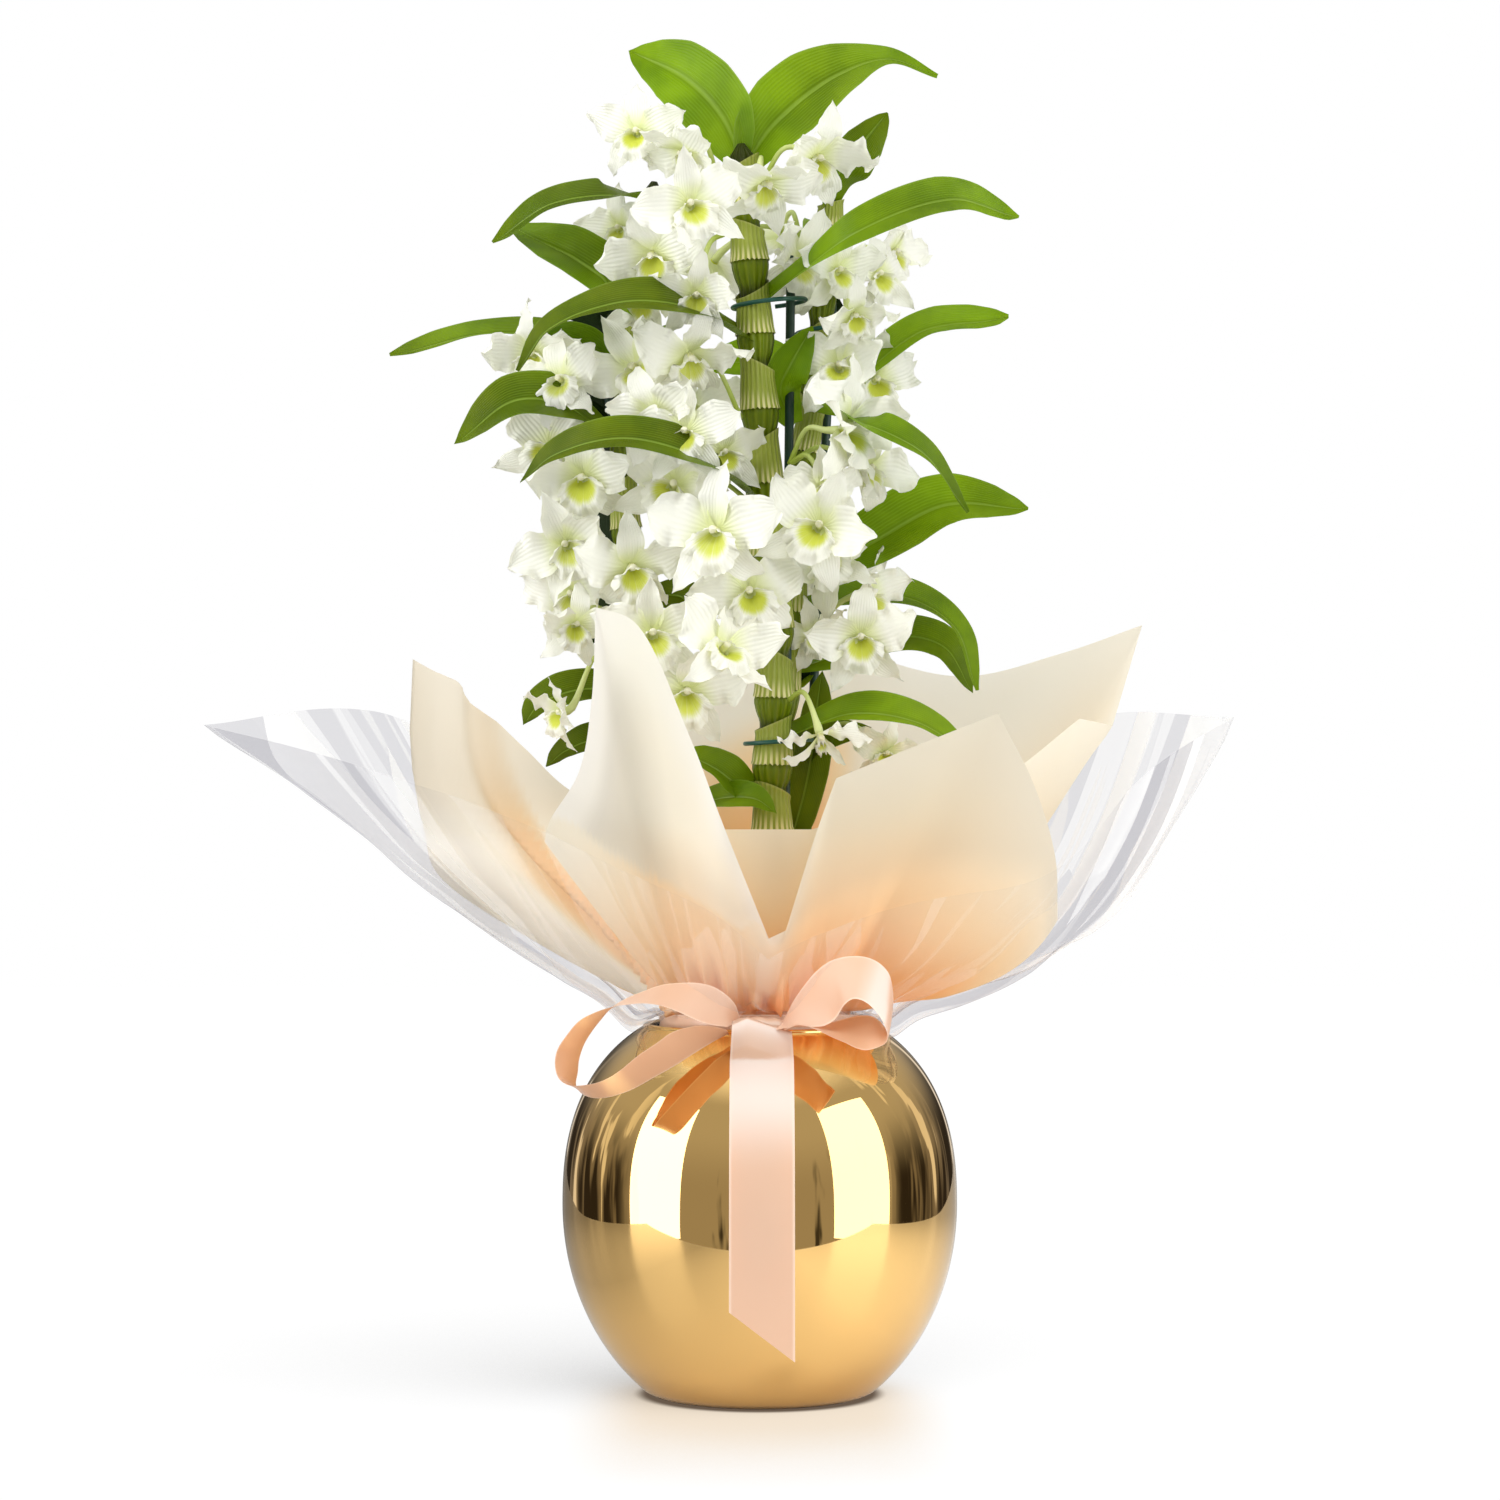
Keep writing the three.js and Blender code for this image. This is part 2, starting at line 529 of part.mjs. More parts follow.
const SPRAYS = {
  top_left: { root: [-20, -18, 582], blooms: [
    { at: [-58, -20, 604], turn: -20, tip: 0, size: 0.75 },
    { at: [-35, -38, 594], turn: -60, tip: -30, roll: 20, size: 0.7 },
  ] },
  upper_front: { root: [-17, -22, 556], blooms: [
    { at: [-33, -70, 563], turn: -5, tip: -10, size: 0.85 },
    { at: [-50, -45, 544], turn: -21, tip: -32, roll: -7, size: 0.85 },
    { at: [-30, -50, 524], turn: 15, tip: -15, size: 0.7 },
  ] },
  top_right: { root: [1, -23, 580], blooms: [
    { at: [4, -48, 586], turn: 10, tip: -35, roll: 10, size: 0.95 },
    { at: [28, -25, 594], turn: 50, tip: -20, roll: -15, size: 0.95 },
  ] },
  left_top: { root: [-60, -2, 545], blooms: [
    { at: [-56, -18, 526], turn: -9, tip: -30, roll: -1, size: 0.7 },
    { at: [-73, -14, 563], turn: -26, tip: -5, roll: 9, size: 0.75 },
  ] },
  right_top: { root: [22, 20, 548], blooms: [
    { at: [16, 8, 553], turn: 18, tip: -10, roll: -8, size: 0.75 },
    { at: [38, -26, 542], turn: 14, tip: -13, roll: 9, size: 0.75 },
  ] },
  right_upper: { root: [42, 22, 538], blooms: [
    { at: [60, 8, 542], turn: 25, tip: -5, size: 0.75 },
    { at: [44, -30, 517], turn: 15, tip: -20, size: 0.65 },
    { at: [71, 29, 557], turn: 60, tip: 11, roll: -6, size: 0.75 },
  ] },
  left_far: { root: [-73, 4, 490], blooms: [
    { at: [-108, -12, 500], turn: -22, tip: -5, roll: -11, size: 0.8 },
    { at: [-94, -26, 485], turn: -10, tip: 2, roll: 11, size: 0.8 },
  ] },
  left_inner: { root: [-52, -2, 484], blooms: [
    { at: [-58, -28, 490], turn: -35, tip: 6, roll: 17, size: 0.9 },
    { at: [-49, -54, 467], turn: -1, tip: -11, roll: 16, size: 0.8 },
  ] },
  front_upper: { root: [-9, -28, 468], blooms: [
    { at: [-30, -41, 485], turn: 5, tip: -44, roll: -3, size: 0.85 },
    { at: [-36, -66, 458], turn: 0, tip: -10, size: 0.85 },
    { at: [-18, -37, 451], turn: 25, tip: -15, roll: -5, size: 0.7 },
  ] },
  right_inner: { root: [33, 14, 478], blooms: [
    { at: [31, -18, 490], turn: 12, tip: 7, roll: -21, size: 0.9 },
    { at: [57, -1, 490], turn: 24, tip: 8, roll: 7, size: 0.85 },
  ] },
  right_middle: { root: [14, -25, 446], blooms: [
    { at: [38, -41, 461], turn: 72, tip: 7, roll: -7, size: 1.05 },
    { at: [17, -48, 447], turn: -10, tip: -10, size: 0.6 },
    { at: [51, -19, 442], turn: 32, tip: 3, roll: -7, size: 0.85 },
  ] },
  left_middle: { root: [-75, 2, 434], blooms: [
    { at: [-105, 11, 457], turn: -28, tip: 12, roll: -25, size: 0.95 },
    { at: [-84, -23, 440], turn: 6, tip: -23, roll: 18 },
  ] },
  left_lower: { root: [-74, 6, 404], blooms: [
    { at: [-96, -20, 408], turn: -10, tip: 0, roll: 15, size: 0.9 },
    { at: [-96, 0, 386], turn: -25, tip: -10, size: 0.85 },
  ] },
  left_low: { root: [-66, -2, 366], blooms: [
    { at: [-92, -28, 370], turn: 0, tip: -10, size: 0.7 },
    { at: [-92, -14, 330], turn: -30, tip: -10, size: 0.7 },
  ] },
  middle_left: { root: [-50, -6, 392], blooms: [
    { at: [-61, -38, 397], turn: -5, tip: -10 },
    { at: [-51, -56, 364], turn: 10, tip: -5, size: 0.95 },
  ] },
  front_middle: { root: [-1, -30, 424], blooms: [
    { at: [-19, -68, 413], turn: 0, tip: -10, size: 1.08 },
    { at: [-41, -22, 435], turn: -3, tip: 21, roll: -22, size: 0.9 },
  ] },
  front_lower: { root: [-1, -30, 368], blooms: [
    { at: [-5, -46, 384], turn: 5, tip: -15, size: 0.9 },
    { at: [-20, -78, 355], turn: 5, tip: 10, roll: -10 },
    { at: [-35, -45, 338], turn: 12, tip: -18, roll: -4, size: 0.9 },
  ] },
  middle_right: { root: [20, -22, 412], blooms: [
    { at: [28, -52, 414], turn: 5, tip: -5 },
    { at: [35, -5, 400], turn: -31, tip: 17, roll: 16 },
  ] },
  right_lower: { root: [26, 14, 356], blooms: [
    { at: [52, -22, 366], turn: 10, tip: -5 },
    { at: [65, 8, 380], turn: 41, tip: -5, roll: 8, size: 0.85 },
    { at: [25, 6, 366], turn: -4, tip: 5, roll: 8, size: 0.6 },
  ] },
  front_low: { root: [14, -27, 334], blooms: [
    { at: [28, -43, 318], turn: 15, tip: -61, roll: -7, size: 0.7 },
  ] },
  right_low: { root: [24, 14, 316], blooms: [
    { at: [60, -6, 309], turn: 20, tip: -30, size: 0.6 },
  ] },
  back_top: { root: [20, 32, 560], blooms: [
    { at: [12, 60, 566], turn: 206, tip: -30, roll: -47, size: 0.95 },
    { at: [-22, 50, 552], turn: 215, tip: -15, size: 0.95 },
  ] },
  back_upper: { root: [-52, 18, 470], blooms: [
    { at: [-32, 52, 474], turn: 190, tip: -10 },
    { at: [-70, 50, 480], turn: 215, tip: -5 },
  ] },
  back_middle: { root: [22, 34, 400], blooms: [
    { at: [-4, 62, 410], turn: 185, tip: -10 },
    { at: [34, 70, 408], turn: 160, tip: -10 },
  ] },
};

// Wire ties, each an open loop round a cane and its stake, by centre, half axes and rise to the right.
const TIES = {
  front_upper: { at: [4.5, -10, 524], axes: [17.5, 16.5], rise: 2 },
  front_lower: { at: [9, -9, 314], axes: [16, 17], rise: 1 },
  left: { at: [-67, 13, 485], axes: [16, 14], rise: 1 },
  right_upper: { at: [31, 26, 515], axes: [13, 14], rise: 2 },
  right_lower: { at: [24, 27, 436], axes: [14.5, 14.5], rise: 2 },
};
const WIRE = 1.1;
const TIE_ENDS = [100, 440]; // degrees, anticlockwise from +X
const TIE_STEPS = 10;

function tie({ at, axes, rise }, grow) {
  const points = [];
  for (let angle = TIE_ENDS[0]; angle <= TIE_ENDS[1]; angle += (TIE_ENDS[1] - TIE_ENDS[0]) / TIE_STEPS) {
    const [c, s] = [Math.cos, Math.sin].map((f) => f(THREE.MathUtils.degToRad(angle)));
    points.push([at[0] + axes[0] * c, at[1] + axes[1] * s, at[2] + rise * c]);
  }
  return rod(points, WIRE + grow, 4, TIE_STEPS - 2);
}

// Wrapping sheets. Each is gathered at the neck and flares to an edge, given as the points that the edge runs
// through and how far out the sheet bellies on its way there.
const INNER_EDGE = [
  [-18, -66, 273], [24, -66, 273], [70, -58, 286], [112, -40, 296], [153, -15, 325, 0.7], [172, 22, 322, 0.6],
  [190, 60, 372, 0.6], [150, 76, 358], [101, 84, 347], [40, 90, 362], [-20, 84, 338], [-85, 66, 290],
  [-130, 44, 300, 0.7], [-168, 10, 354, 1.25], [-142, -10, 338, 0.95], [-112, -26, 311], [-88, -40, 290],
  [-52, -56, 279],
];
const OUTER_EDGE = [
  [-104, -48, 258, 0.6], [-98, -66, 276], [-84, -76, 300], [-78, -80, 333], [-76, -82, 376], [-58, -86, 369],
  [-32, -88, 315], [-18, -88, 278], [4, -64, 222], [12, -68, 226], [26, -84, 273], [35, -88, 296],
  [72, -88, 312], [110, -84, 327], [127, -74, 294, 0.6], [137, -60, 260, 0.7], [140, -48, 230, 0.75],
];
const FILM_EDGE = [
  [4, -76, 214, 0.4], [-26, -86, 237], [-56, -92, 251], [-100, -80, 272], [-180, -42, 300], [-270, 0, 323],
  [-190, 60, 316], [-110, 96, 300], [0, 116, 300], [100, 112, 300, 0.6], [170, 76, 312, 0.7],
  [232, 20, 326, 0.8],
  [184, -34, 300, 0.75], [132, -84, 252, 0.6], [70, -96, 240], [30, -88, 226],
];
const PLEAT = 1.5; // how far the ribs stand off each other, in and out by turns
const RIB = [0, 0.3, 0.64, 1]; // where the rows cross a rib
const BELLY = 0.45; // share of the way out at which a rib bends up, where its point gives none
const PAPER_RISE = 0.28; // share of its height that a rib has gained there
const FILM_RISE = 0.08;

// Ribs of a sheet, from the neck to its edge, with the stretches between the edge's points split in two.
function wrapGrid(edge, neckRadius, rise, ring) {
  const edgePoints = [];
  const spans = ring ? edge.length : edge.length - 1;
  for (let k = 0; k < spans; k++) {
    const [a, b] = [edge[k], edge[(k + 1) % edge.length]];
    for (const share of [0, 0.5]) {
      const belly = THREE.MathUtils.lerp(a[3] ?? BELLY, b[3] ?? BELLY, share);
      edgePoints.push({ point: vec(a.slice(0, 3)).lerp(vec(b.slice(0, 3)), share), belly });
    }
  }
  if (!ring) {
    const last = edge[edge.length - 1];
    edgePoints.push({ point: vec(last.slice(0, 3)), belly: last[3] ?? BELLY });
  }
  const ribs = edgePoints.map(({ point, belly }) => {
    const out = new THREE.Vector3(point.x, point.y, 0).normalize();
    const flare = NECK.flare - NECK.tilt * out.y;
    const neck = out.clone().multiplyScalar(neckRadius);
    const low = neck.clone().setZ(NECK.low);
    const start = neck.clone().setZ(flare);
    const reach = Math.hypot(point.x, point.y) - neckRadius;
    const bend = start.clone().addScaledVector(out, reach * belly);
    bend.z += rise * (point.z - flare);
    const curve = new THREE.QuadraticBezierCurve3(start, bend, point);
    return [low, ...RIB.map((t) => curve.getPoint(t))];
  });
  ribs.forEach((rib, k) => {
    const out = new THREE.Vector3(rib[0].x, rib[0].y, 0).normalize();
    const fold = (k % 2 ? 0.4 : -0.4) * PLEAT;
    rib.slice(2, -1).forEach((point) => point.addScaledVector(out, fold));
  });
  return ribs[0].map((_, row) => ribs.map((rib) => rib[row]));
}

// Ribbon pieces run along a line of points, each with the direction of the ribbon's width there.
function ribbonPiece(stations, grow) {
  const grid = stations.map(({ at, side, width = RIBBON.width }) => {
    const half = vec(side).setLength(width / 2);
    return [vec(at).sub(half), vec(at).add(half)];
  });
  return sheet(grid, RIBBON.thickness, { grow });
}

function ribbonBand(grow) {
  const rows = [-BAND.height / 2, BAND.height / 2].map((rise) =>
    Array.from({ length: BAND.sides }, (_, k) => {
      const angle = (2 * Math.PI * k) / BAND.sides;
      const [x, y] = [Math.cos(angle), Math.sin(angle)];
      return new THREE.Vector3(BAND.radius * x, BAND.radius * y, NECK.flare - BAND.drop - NECK.tilt * y + rise);
    }),
  );
  return sheet(rows, RIBBON.thickness, { ring: true, grow });
}

const KNOT = { at: [-1, -60, 185], size: [13, 7, 7.5] };

function ribbonKnot(grow) {
  const [x, y, z] = KNOT.size.map((half) => half + grow);
  return fromGeometry(new THREE.SphereGeometry(1, 10, 6).scale(x, y, z).translate(...KNOT.at));
}

// The tail laps over the knot, lies on the shoulder of the vase and then hangs straight to its slanted cut.
const TAIL_LAP = [[-2, -64, 197, 26], [-2, -69, 190, 27], [-1, -69.5, 180, RIBBON.width]]; // x, y, z and width
const SHOULDER = [170, 158, 142, 122, 100];
const HANG = 80;

function ribbonTail(grow) {
  const over = (z) => [0, -vaseRadius(z) - TAIL.off, z, RIBBON.width];
  const hang = -vaseRadius(VASE.waist) - TAIL.off;
  const stations = [...TAIL_LAP, ...SHOULDER.map(over), [0, hang, HANG, RIBBON.width]];
  const grid = stations.map(([x, y, z, width]) =>
    [-width / 2, width / 2].map((edge) => new THREE.Vector3(TAIL.centre + x + edge, y, z)),
  );
  const cut = [[-RIBBON.width / 2, TAIL.lowLeft], [RIBBON.width / 2, TAIL.lowRight]];
  grid.push(cut.map(([edge, z]) => new THREE.Vector3(TAIL.centre + edge, hang, z)));
  return sheet(grid, RIBBON.thickness, { grow });
}

const LOOPS = {
  left: [
    { at: [-16, -64, 189], side: [0.1, 0.5, 0.8], width: 16 },
    { at: [-32, -74, 196], side: [0.2, 0.55, 0.8], width: 26 },
    { at: [-56, -80, 190], side: [0.35, 0.7, 0.6] },
    { at: [-78, -88, 176], side: [0.3, 0.85, 0.3] },
    { at: [-90, -94, 160], side: [0.1, 0.95, 0] },
    { at: [-90, -97, 148], side: [-0.3, 0.85, 0.3] },
    { at: [-78, -97, 144], side: [-0.3, 0.6, 0.7] },
    { at: [-55, -94, 157], side: [-0.3, 0.5, 0.8] },
    { at: [-33, -84, 172], side: [-0.2, 0.4, 0.8], width: 26 },
    { at: [-16, -72, 182], side: [-0.1, 0.3, 0.8], width: 14 },
  ],
  right: [
    { at: [15, -64, 189], side: [0, 0.5, 0.8], width: 14 },
    { at: [30, -77, 200], side: [-0.4, 0.6, 0.6], width: 26 },
    { at: [46, -91, 211], side: [-0.3, 0.8, 0.3] },
    { at: [58, -96, 207], side: [0.3, 0.85, 0.3] },
    { at: [61, -99, 192], side: [0.3, 0.9, 0] },
    { at: [50, -97, 180], side: [0.1, 0.8, -0.3] },
    { at: [34, -87, 182], side: [0, 0.7, 0.5], width: 24 },
    { at: [16, -74, 185], side: [0, 0.4, 0.8], width: 12 },
  ],
};

// Assembly. What is placed first keeps its full shape.

place("vase", vase, MATERIALS.gold);
place("nursery_pot", pot, MATERIALS.pot);
const wrapping = (edge, neckRadius, rise, ring) => (grow) =>
  sheet(wrapGrid(edge, neckRadius, rise, ring), PAPER, { ring, grow });
place("paper_inner", wrapping(INNER_EDGE, 43.6, PAPER_RISE, true), MATERIALS.paper);
place("paper_outer", wrapping(OUTER_EDGE, 45, PAPER_RISE, false), MATERIALS.paper);
place("cellophane", wrapping(FILM_EDGE, 46.5, FILM_RISE, true), MATERIALS.film);

for (const [name, [foot, top]] of Object.entries(STAKES)) {
  place(`stake_${name}`, (grow) => rod([foot, top], STAKE_RADIUS + grow, 6, 1), MATERIALS.stake);
}
for (const [name, cane] of Object.entries(CANES)) {
  const leafy = (grow) => join([caneBody(cane, grow), ...LEAVES[name].map((blade) => leaf(blade, grow))]);
  place(`cane_${name}`, leafy, MATERIALS.leaf);
}
place("ribbon_band", ribbonBand, MATERIALS.ribbon);
place("ribbon_tail", ribbonTail, MATERIALS.ribbon);
place("bow_knot", ribbonKnot, MATERIALS.ribbon);
for (const [name, stations] of Object.entries(LOOPS)) {
  place(`bow_loop_${name}`, (grow) => ribbonPiece(stations, grow), MATERIALS.ribbon);
}
for (const [name, spec] of Object.entries(TIES)) {
  place(`tie_${name}`, (grow) => tie(spec, grow), MATERIALS.tie);
}
for (const [name, spec] of Object.entries(SPRAYS)) {
  place(`spray_${name}`, (grow) => spray(spec, grow), MATERIALS.petal);
}

place("potting_bark", bark, MATERIALS.bark);

export default group;
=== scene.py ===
import math

import bpy
import numpy as np
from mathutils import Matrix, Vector, noise


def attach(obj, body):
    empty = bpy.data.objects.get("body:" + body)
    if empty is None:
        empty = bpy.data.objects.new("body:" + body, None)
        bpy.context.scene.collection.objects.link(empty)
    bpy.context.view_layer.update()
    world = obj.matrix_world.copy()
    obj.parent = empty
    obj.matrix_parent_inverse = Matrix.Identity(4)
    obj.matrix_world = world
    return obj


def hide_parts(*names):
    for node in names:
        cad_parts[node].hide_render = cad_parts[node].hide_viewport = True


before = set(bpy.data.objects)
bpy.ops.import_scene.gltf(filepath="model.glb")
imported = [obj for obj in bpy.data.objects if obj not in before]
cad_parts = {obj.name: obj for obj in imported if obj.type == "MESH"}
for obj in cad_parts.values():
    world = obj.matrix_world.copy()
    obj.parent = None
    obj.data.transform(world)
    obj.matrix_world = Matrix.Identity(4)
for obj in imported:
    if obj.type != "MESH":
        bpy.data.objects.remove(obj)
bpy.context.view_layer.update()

MM = 0.001

# Dimensions repeated from the part's source, in mm

VASE = {"radius": 95, "waist": 91.6, "upper": 98.3, "lower": 110, "power": 2.4, "height": 178.8, "wall": 3.4}
NECK = {"low": 152, "flare": 184, "tilt": 3}
CANE_ROOT = 128
CANES = {
    "front": {"radius": 10.2, "line": [
        (4, -12, CANE_ROOT), (6, -12, 238), (6, -14, 300), (7, -15, 363), (2, -15, 439), (-2, -15, 506),
        (-7, -15, 573), (-9, -15, 600)],
        "nodes": [168, 203, 238, 272, 304, 336, 369, 404, 438, 473.5, 509.5, 544.5, 572]},
    "left": {"radius": 8, "line": [
        (-19, 8, CANE_ROOT), (-28, 8, 230), (-44, 8, 305), (-55, 8, 363), (-65, 8, 421), (-65, 8, 465),
        (-61, 8, 508), (-51, 8, 585)],
        "nodes": [180, 222, 262, 300, 338, 378, 418, 458, 498, 536, 570]},
    "right": {"radius": 8, "line": [
        (8, 18, CANE_ROOT), (9, 19, 230), (12, 20, 334), (16, 22, 383), (20, 22, 442), (26, 22, 481),
        (30, 22, 524), (35, 22, 580)],
        "nodes": [180, 222, 262, 300, 340, 378, 417, 456, 495, 532, 566]},
}
STAKES = {
    "front": [(10, 1, 40), (15, -2, 548)],
    "left": [(-14, 19, 40), (-77, 20, 508)],
    "right": [(12, 24, 40), (36, 35, 536)],
}
STAKE_RADIUS = 2.2
USUAL_FACE = (0, -0.75, 0.65)
# Each leaf: its line, width, outline and tone, the way its face looks, and the way at its tip if it twists.
LEAVES = {
    "front": [
        ([(-9, -14, 590), (-20, -10, 616), (-38, -2, 636), (-63, 10, 649)], 36, "oval", 0.1,
         (-0.35, -0.9, 0.3)),
        ([(-8, -14, 588), (6, -14, 612), (34, -10, 636), (62, 0, 645), (86, 8, 636)], 38, "tailed", 0.15,
         (-0.05, -1, 0.25), (-0.1, -0.7, 0.7)),
        ([(2, -15, 528), (44.9, -62, 554.7), (90.4, -58, 570.7), (122.5, -38, 562)], 25, "late", 0.3,
         (-0.25, -0.75, 0.6), (-0.1, -0.85, 0.55)),
        ([(-4, -15, 508), (-32.6, -56, 521.2), (-65.2, -66, 522.4), (-100.5, -60, 509), (-113.9, -54, 487.8)],
         25, "strap", 0.95, (0.15, -0.75, 0.65), (-0.5, -0.5, 0.7)),
        ([(0, -15, 432), (-27.5, -68, 450.1), (-64.9, -74, 458.2), (-98.1, -62, 449.7), (-112.8, -50, 435.7)],
         26, "strap", 0.85, (0.2, -0.78, 0.6), (-0.5, -0.5, 0.7)),
        ([(10, -14, 318), (43, -30, 331), (76, -40, 326), (101, -46, 308)], 25, "strap", 0.25,
         (0, -0.55, 0.83), (0.4, -0.55, 0.7)),
        ([(1, -15, 286), (-19, -26, 303), (-34, -33, 309)], 22, "strap", 0.5, (0.2, -0.75, 0.65)),
    ],
    "left": [
        ([(-51, 8, 578), (-70.7, -40, 575.6), (-101.6, -36, 570.3), (-127.5, -22, 552)], 21, "strap", 0.7,
         (0, -0.5, 0.85), (-0.5, -0.7, 0.5)),
        ([(-59.9, 2, 522.5), (-70.6, -34, 535.1), (-90.1, -30, 548.8), (-121.1, -10, 562.9)], 32, "oval", 0.3,
         (0.4, -0.8, 0.4)),
        ([(-62, 8, 501), (-96, 0, 512), (-134, -8, 513), (-177, -16, 499)], 22, "strap", 0.45,
         (0, -0.5, 0.85), (-0.1, -0.5, 0.8)),
        ([(-62, 8, 486), (-84, -3, 505), (-108, -10, 512)], 24, "oval", 0, (0.3, -0.8, 0.5)),
        ([(-64, 8, 458), (-89.9, -32, 476.8), (-117.8, -34, 478.3), (-145.7, -24, 455.7)], 29, "oval", 0.75,
         USUAL_FACE, (-0.3, -0.8, 0.5)),
        ([(-49, 8, 336), (-84, 4, 342), (-106, 0, 334), (-114, -2, 322)], 21, "strap", 0.8, USUAL_FACE),
        ([(-44, 8, 303), (-77, 6, 317), (-94, 2, 311), (-103, 0, 302)], 18, "strap", 0.8, USUAL_FACE),
        ([(-56, 8, 384), (-36, 0, 384), (-24, -6, 356)], 18, "oval", 1, (0.3, -0.9, 0.2)),
        ([(-40, 4, 276), (-24, -20, 288), (-2, -34, 288), (8, -36, 280)], 17, "strap", 0.1, (0, -0.8, 0.6)),
        ([(-62, 10, 500), (-58, 50, 520), (-52, 88, 512)], 26, "strap", 0.4, (0, 0.3, 0.9)),
        # these four leaves, near tone 2, are painted deep shade set behind the blooms
        ([(-60, 20, 540), (-74, 32, 505), (-81, 34, 455), (-76, 30, 395)], 24, "strap", 1.9, (0.1, -1, 0)),
        ([(-58, 18, 500), (-76, 26, 522), (-100, 24, 524)], 16, "strap", 1.9, (0, -0.9, 0.3)),
        ([(-62, 14, 466), (-86, 18, 482), (-104, 14, 468)], 20, "oval", 1.9, (0, -1, 0.2)),
        ([(-58, 16, 388), (-76, 20, 400), (-84, 22, 360)], 24, "oval", 1.8, (0, -1, 0.2)),
    ],
    "right": [
        ([(34, 22, 573), (41.7, 4, 590), (61.4, -6, 616.2)], 23, "oval", 0.6,
         (0.4, -0.85, 0.3), (0.5, -0.75, 0.3)),
        ([(26, 20, 479.8), (45.3, -10, 490.6), (79.2, -12, 514.9), (119.6, -6, 518.4)], 25, "late", 0.25,
         (-0.2, -0.45, 0.9), (0, -0.7, 0.7)),
        ([(25, 18, 477.8), (51.3, -52, 466.2), (79.9, -50, 450.5), (98.9, -30, 422.9)], 22, "strap", 0.35,
         (0.3, -0.75, 0.6), (0.8, -0.45, 0.4)),
        ([(19, 21, 398), (50, 6, 411), (90, 0, 431), (129, -6, 426)], 33, "oval", 0.25,
         (-0.1, -0.9, 0.4), (-0.1, -0.85, 0.5)),
        ([(18, 22, 381), (71, 28, 388), (98, 24, 371), (106, 20, 339)], 22, "strap", 0.3,
         (0, -0.5, 0.85), (0.75, -0.5, 0.4)),
        ([(17, 21, 350), (69, 38, 368), (92, 40, 362), (105, 42, 338)], 23, "oval", 0.6,
         (0.1, -0.8, 0.6), (0.3, -0.85, 0.45)),
        ([(18, 14, 468), (12, -16, 486), (25, -22, 512)], 22, "oval", 0.2, (0.2, -1, 0.1)),
        ([(14, 18, 296), (26, 6, 315), (54, 2, 321)], 16, "strap", 1.1, (0, -0.85, 0.5)),
        ([(14, 14, 262), (24, 4, 300), (30, -6, 348)], 19, "strap", 0.9, (0, -1, 0.2), (0.2, -1, 0.2)),
        ([(25, 23, 478), (0, 42, 503), (-34, 52, 500)], 26, "oval", 0, (0, -0.8, 0.5)),
        ([(32, 24, 552), (36, 60, 574), (40, 96, 566)], 28, "strap", 0.3, (0, 0.3, 0.9)),
        ([(16, 22, 340), (22, 54, 362), (28, 84, 358)], 22, "strap", 0.4, (0, 0.3, 0.9)),
        # these three leaves, near tone 2, are painted deep shade set behind the blooms
        ([(26, 30, 478), (34, 36, 505), (36, 40, 535)], 22, "oval", 1.95, (0, -1, 0.1)),
        ([(18, 30, 402), (24, 36, 432), (22, 40, 462)], 20, "oval", 1.9, (0, -1, 0.1)),
        ([(16, 28, 340), (20, 36, 366), (10, 40, 392)], 20, "oval", 1.9, (0, -1, 0.1)),
    ],
}
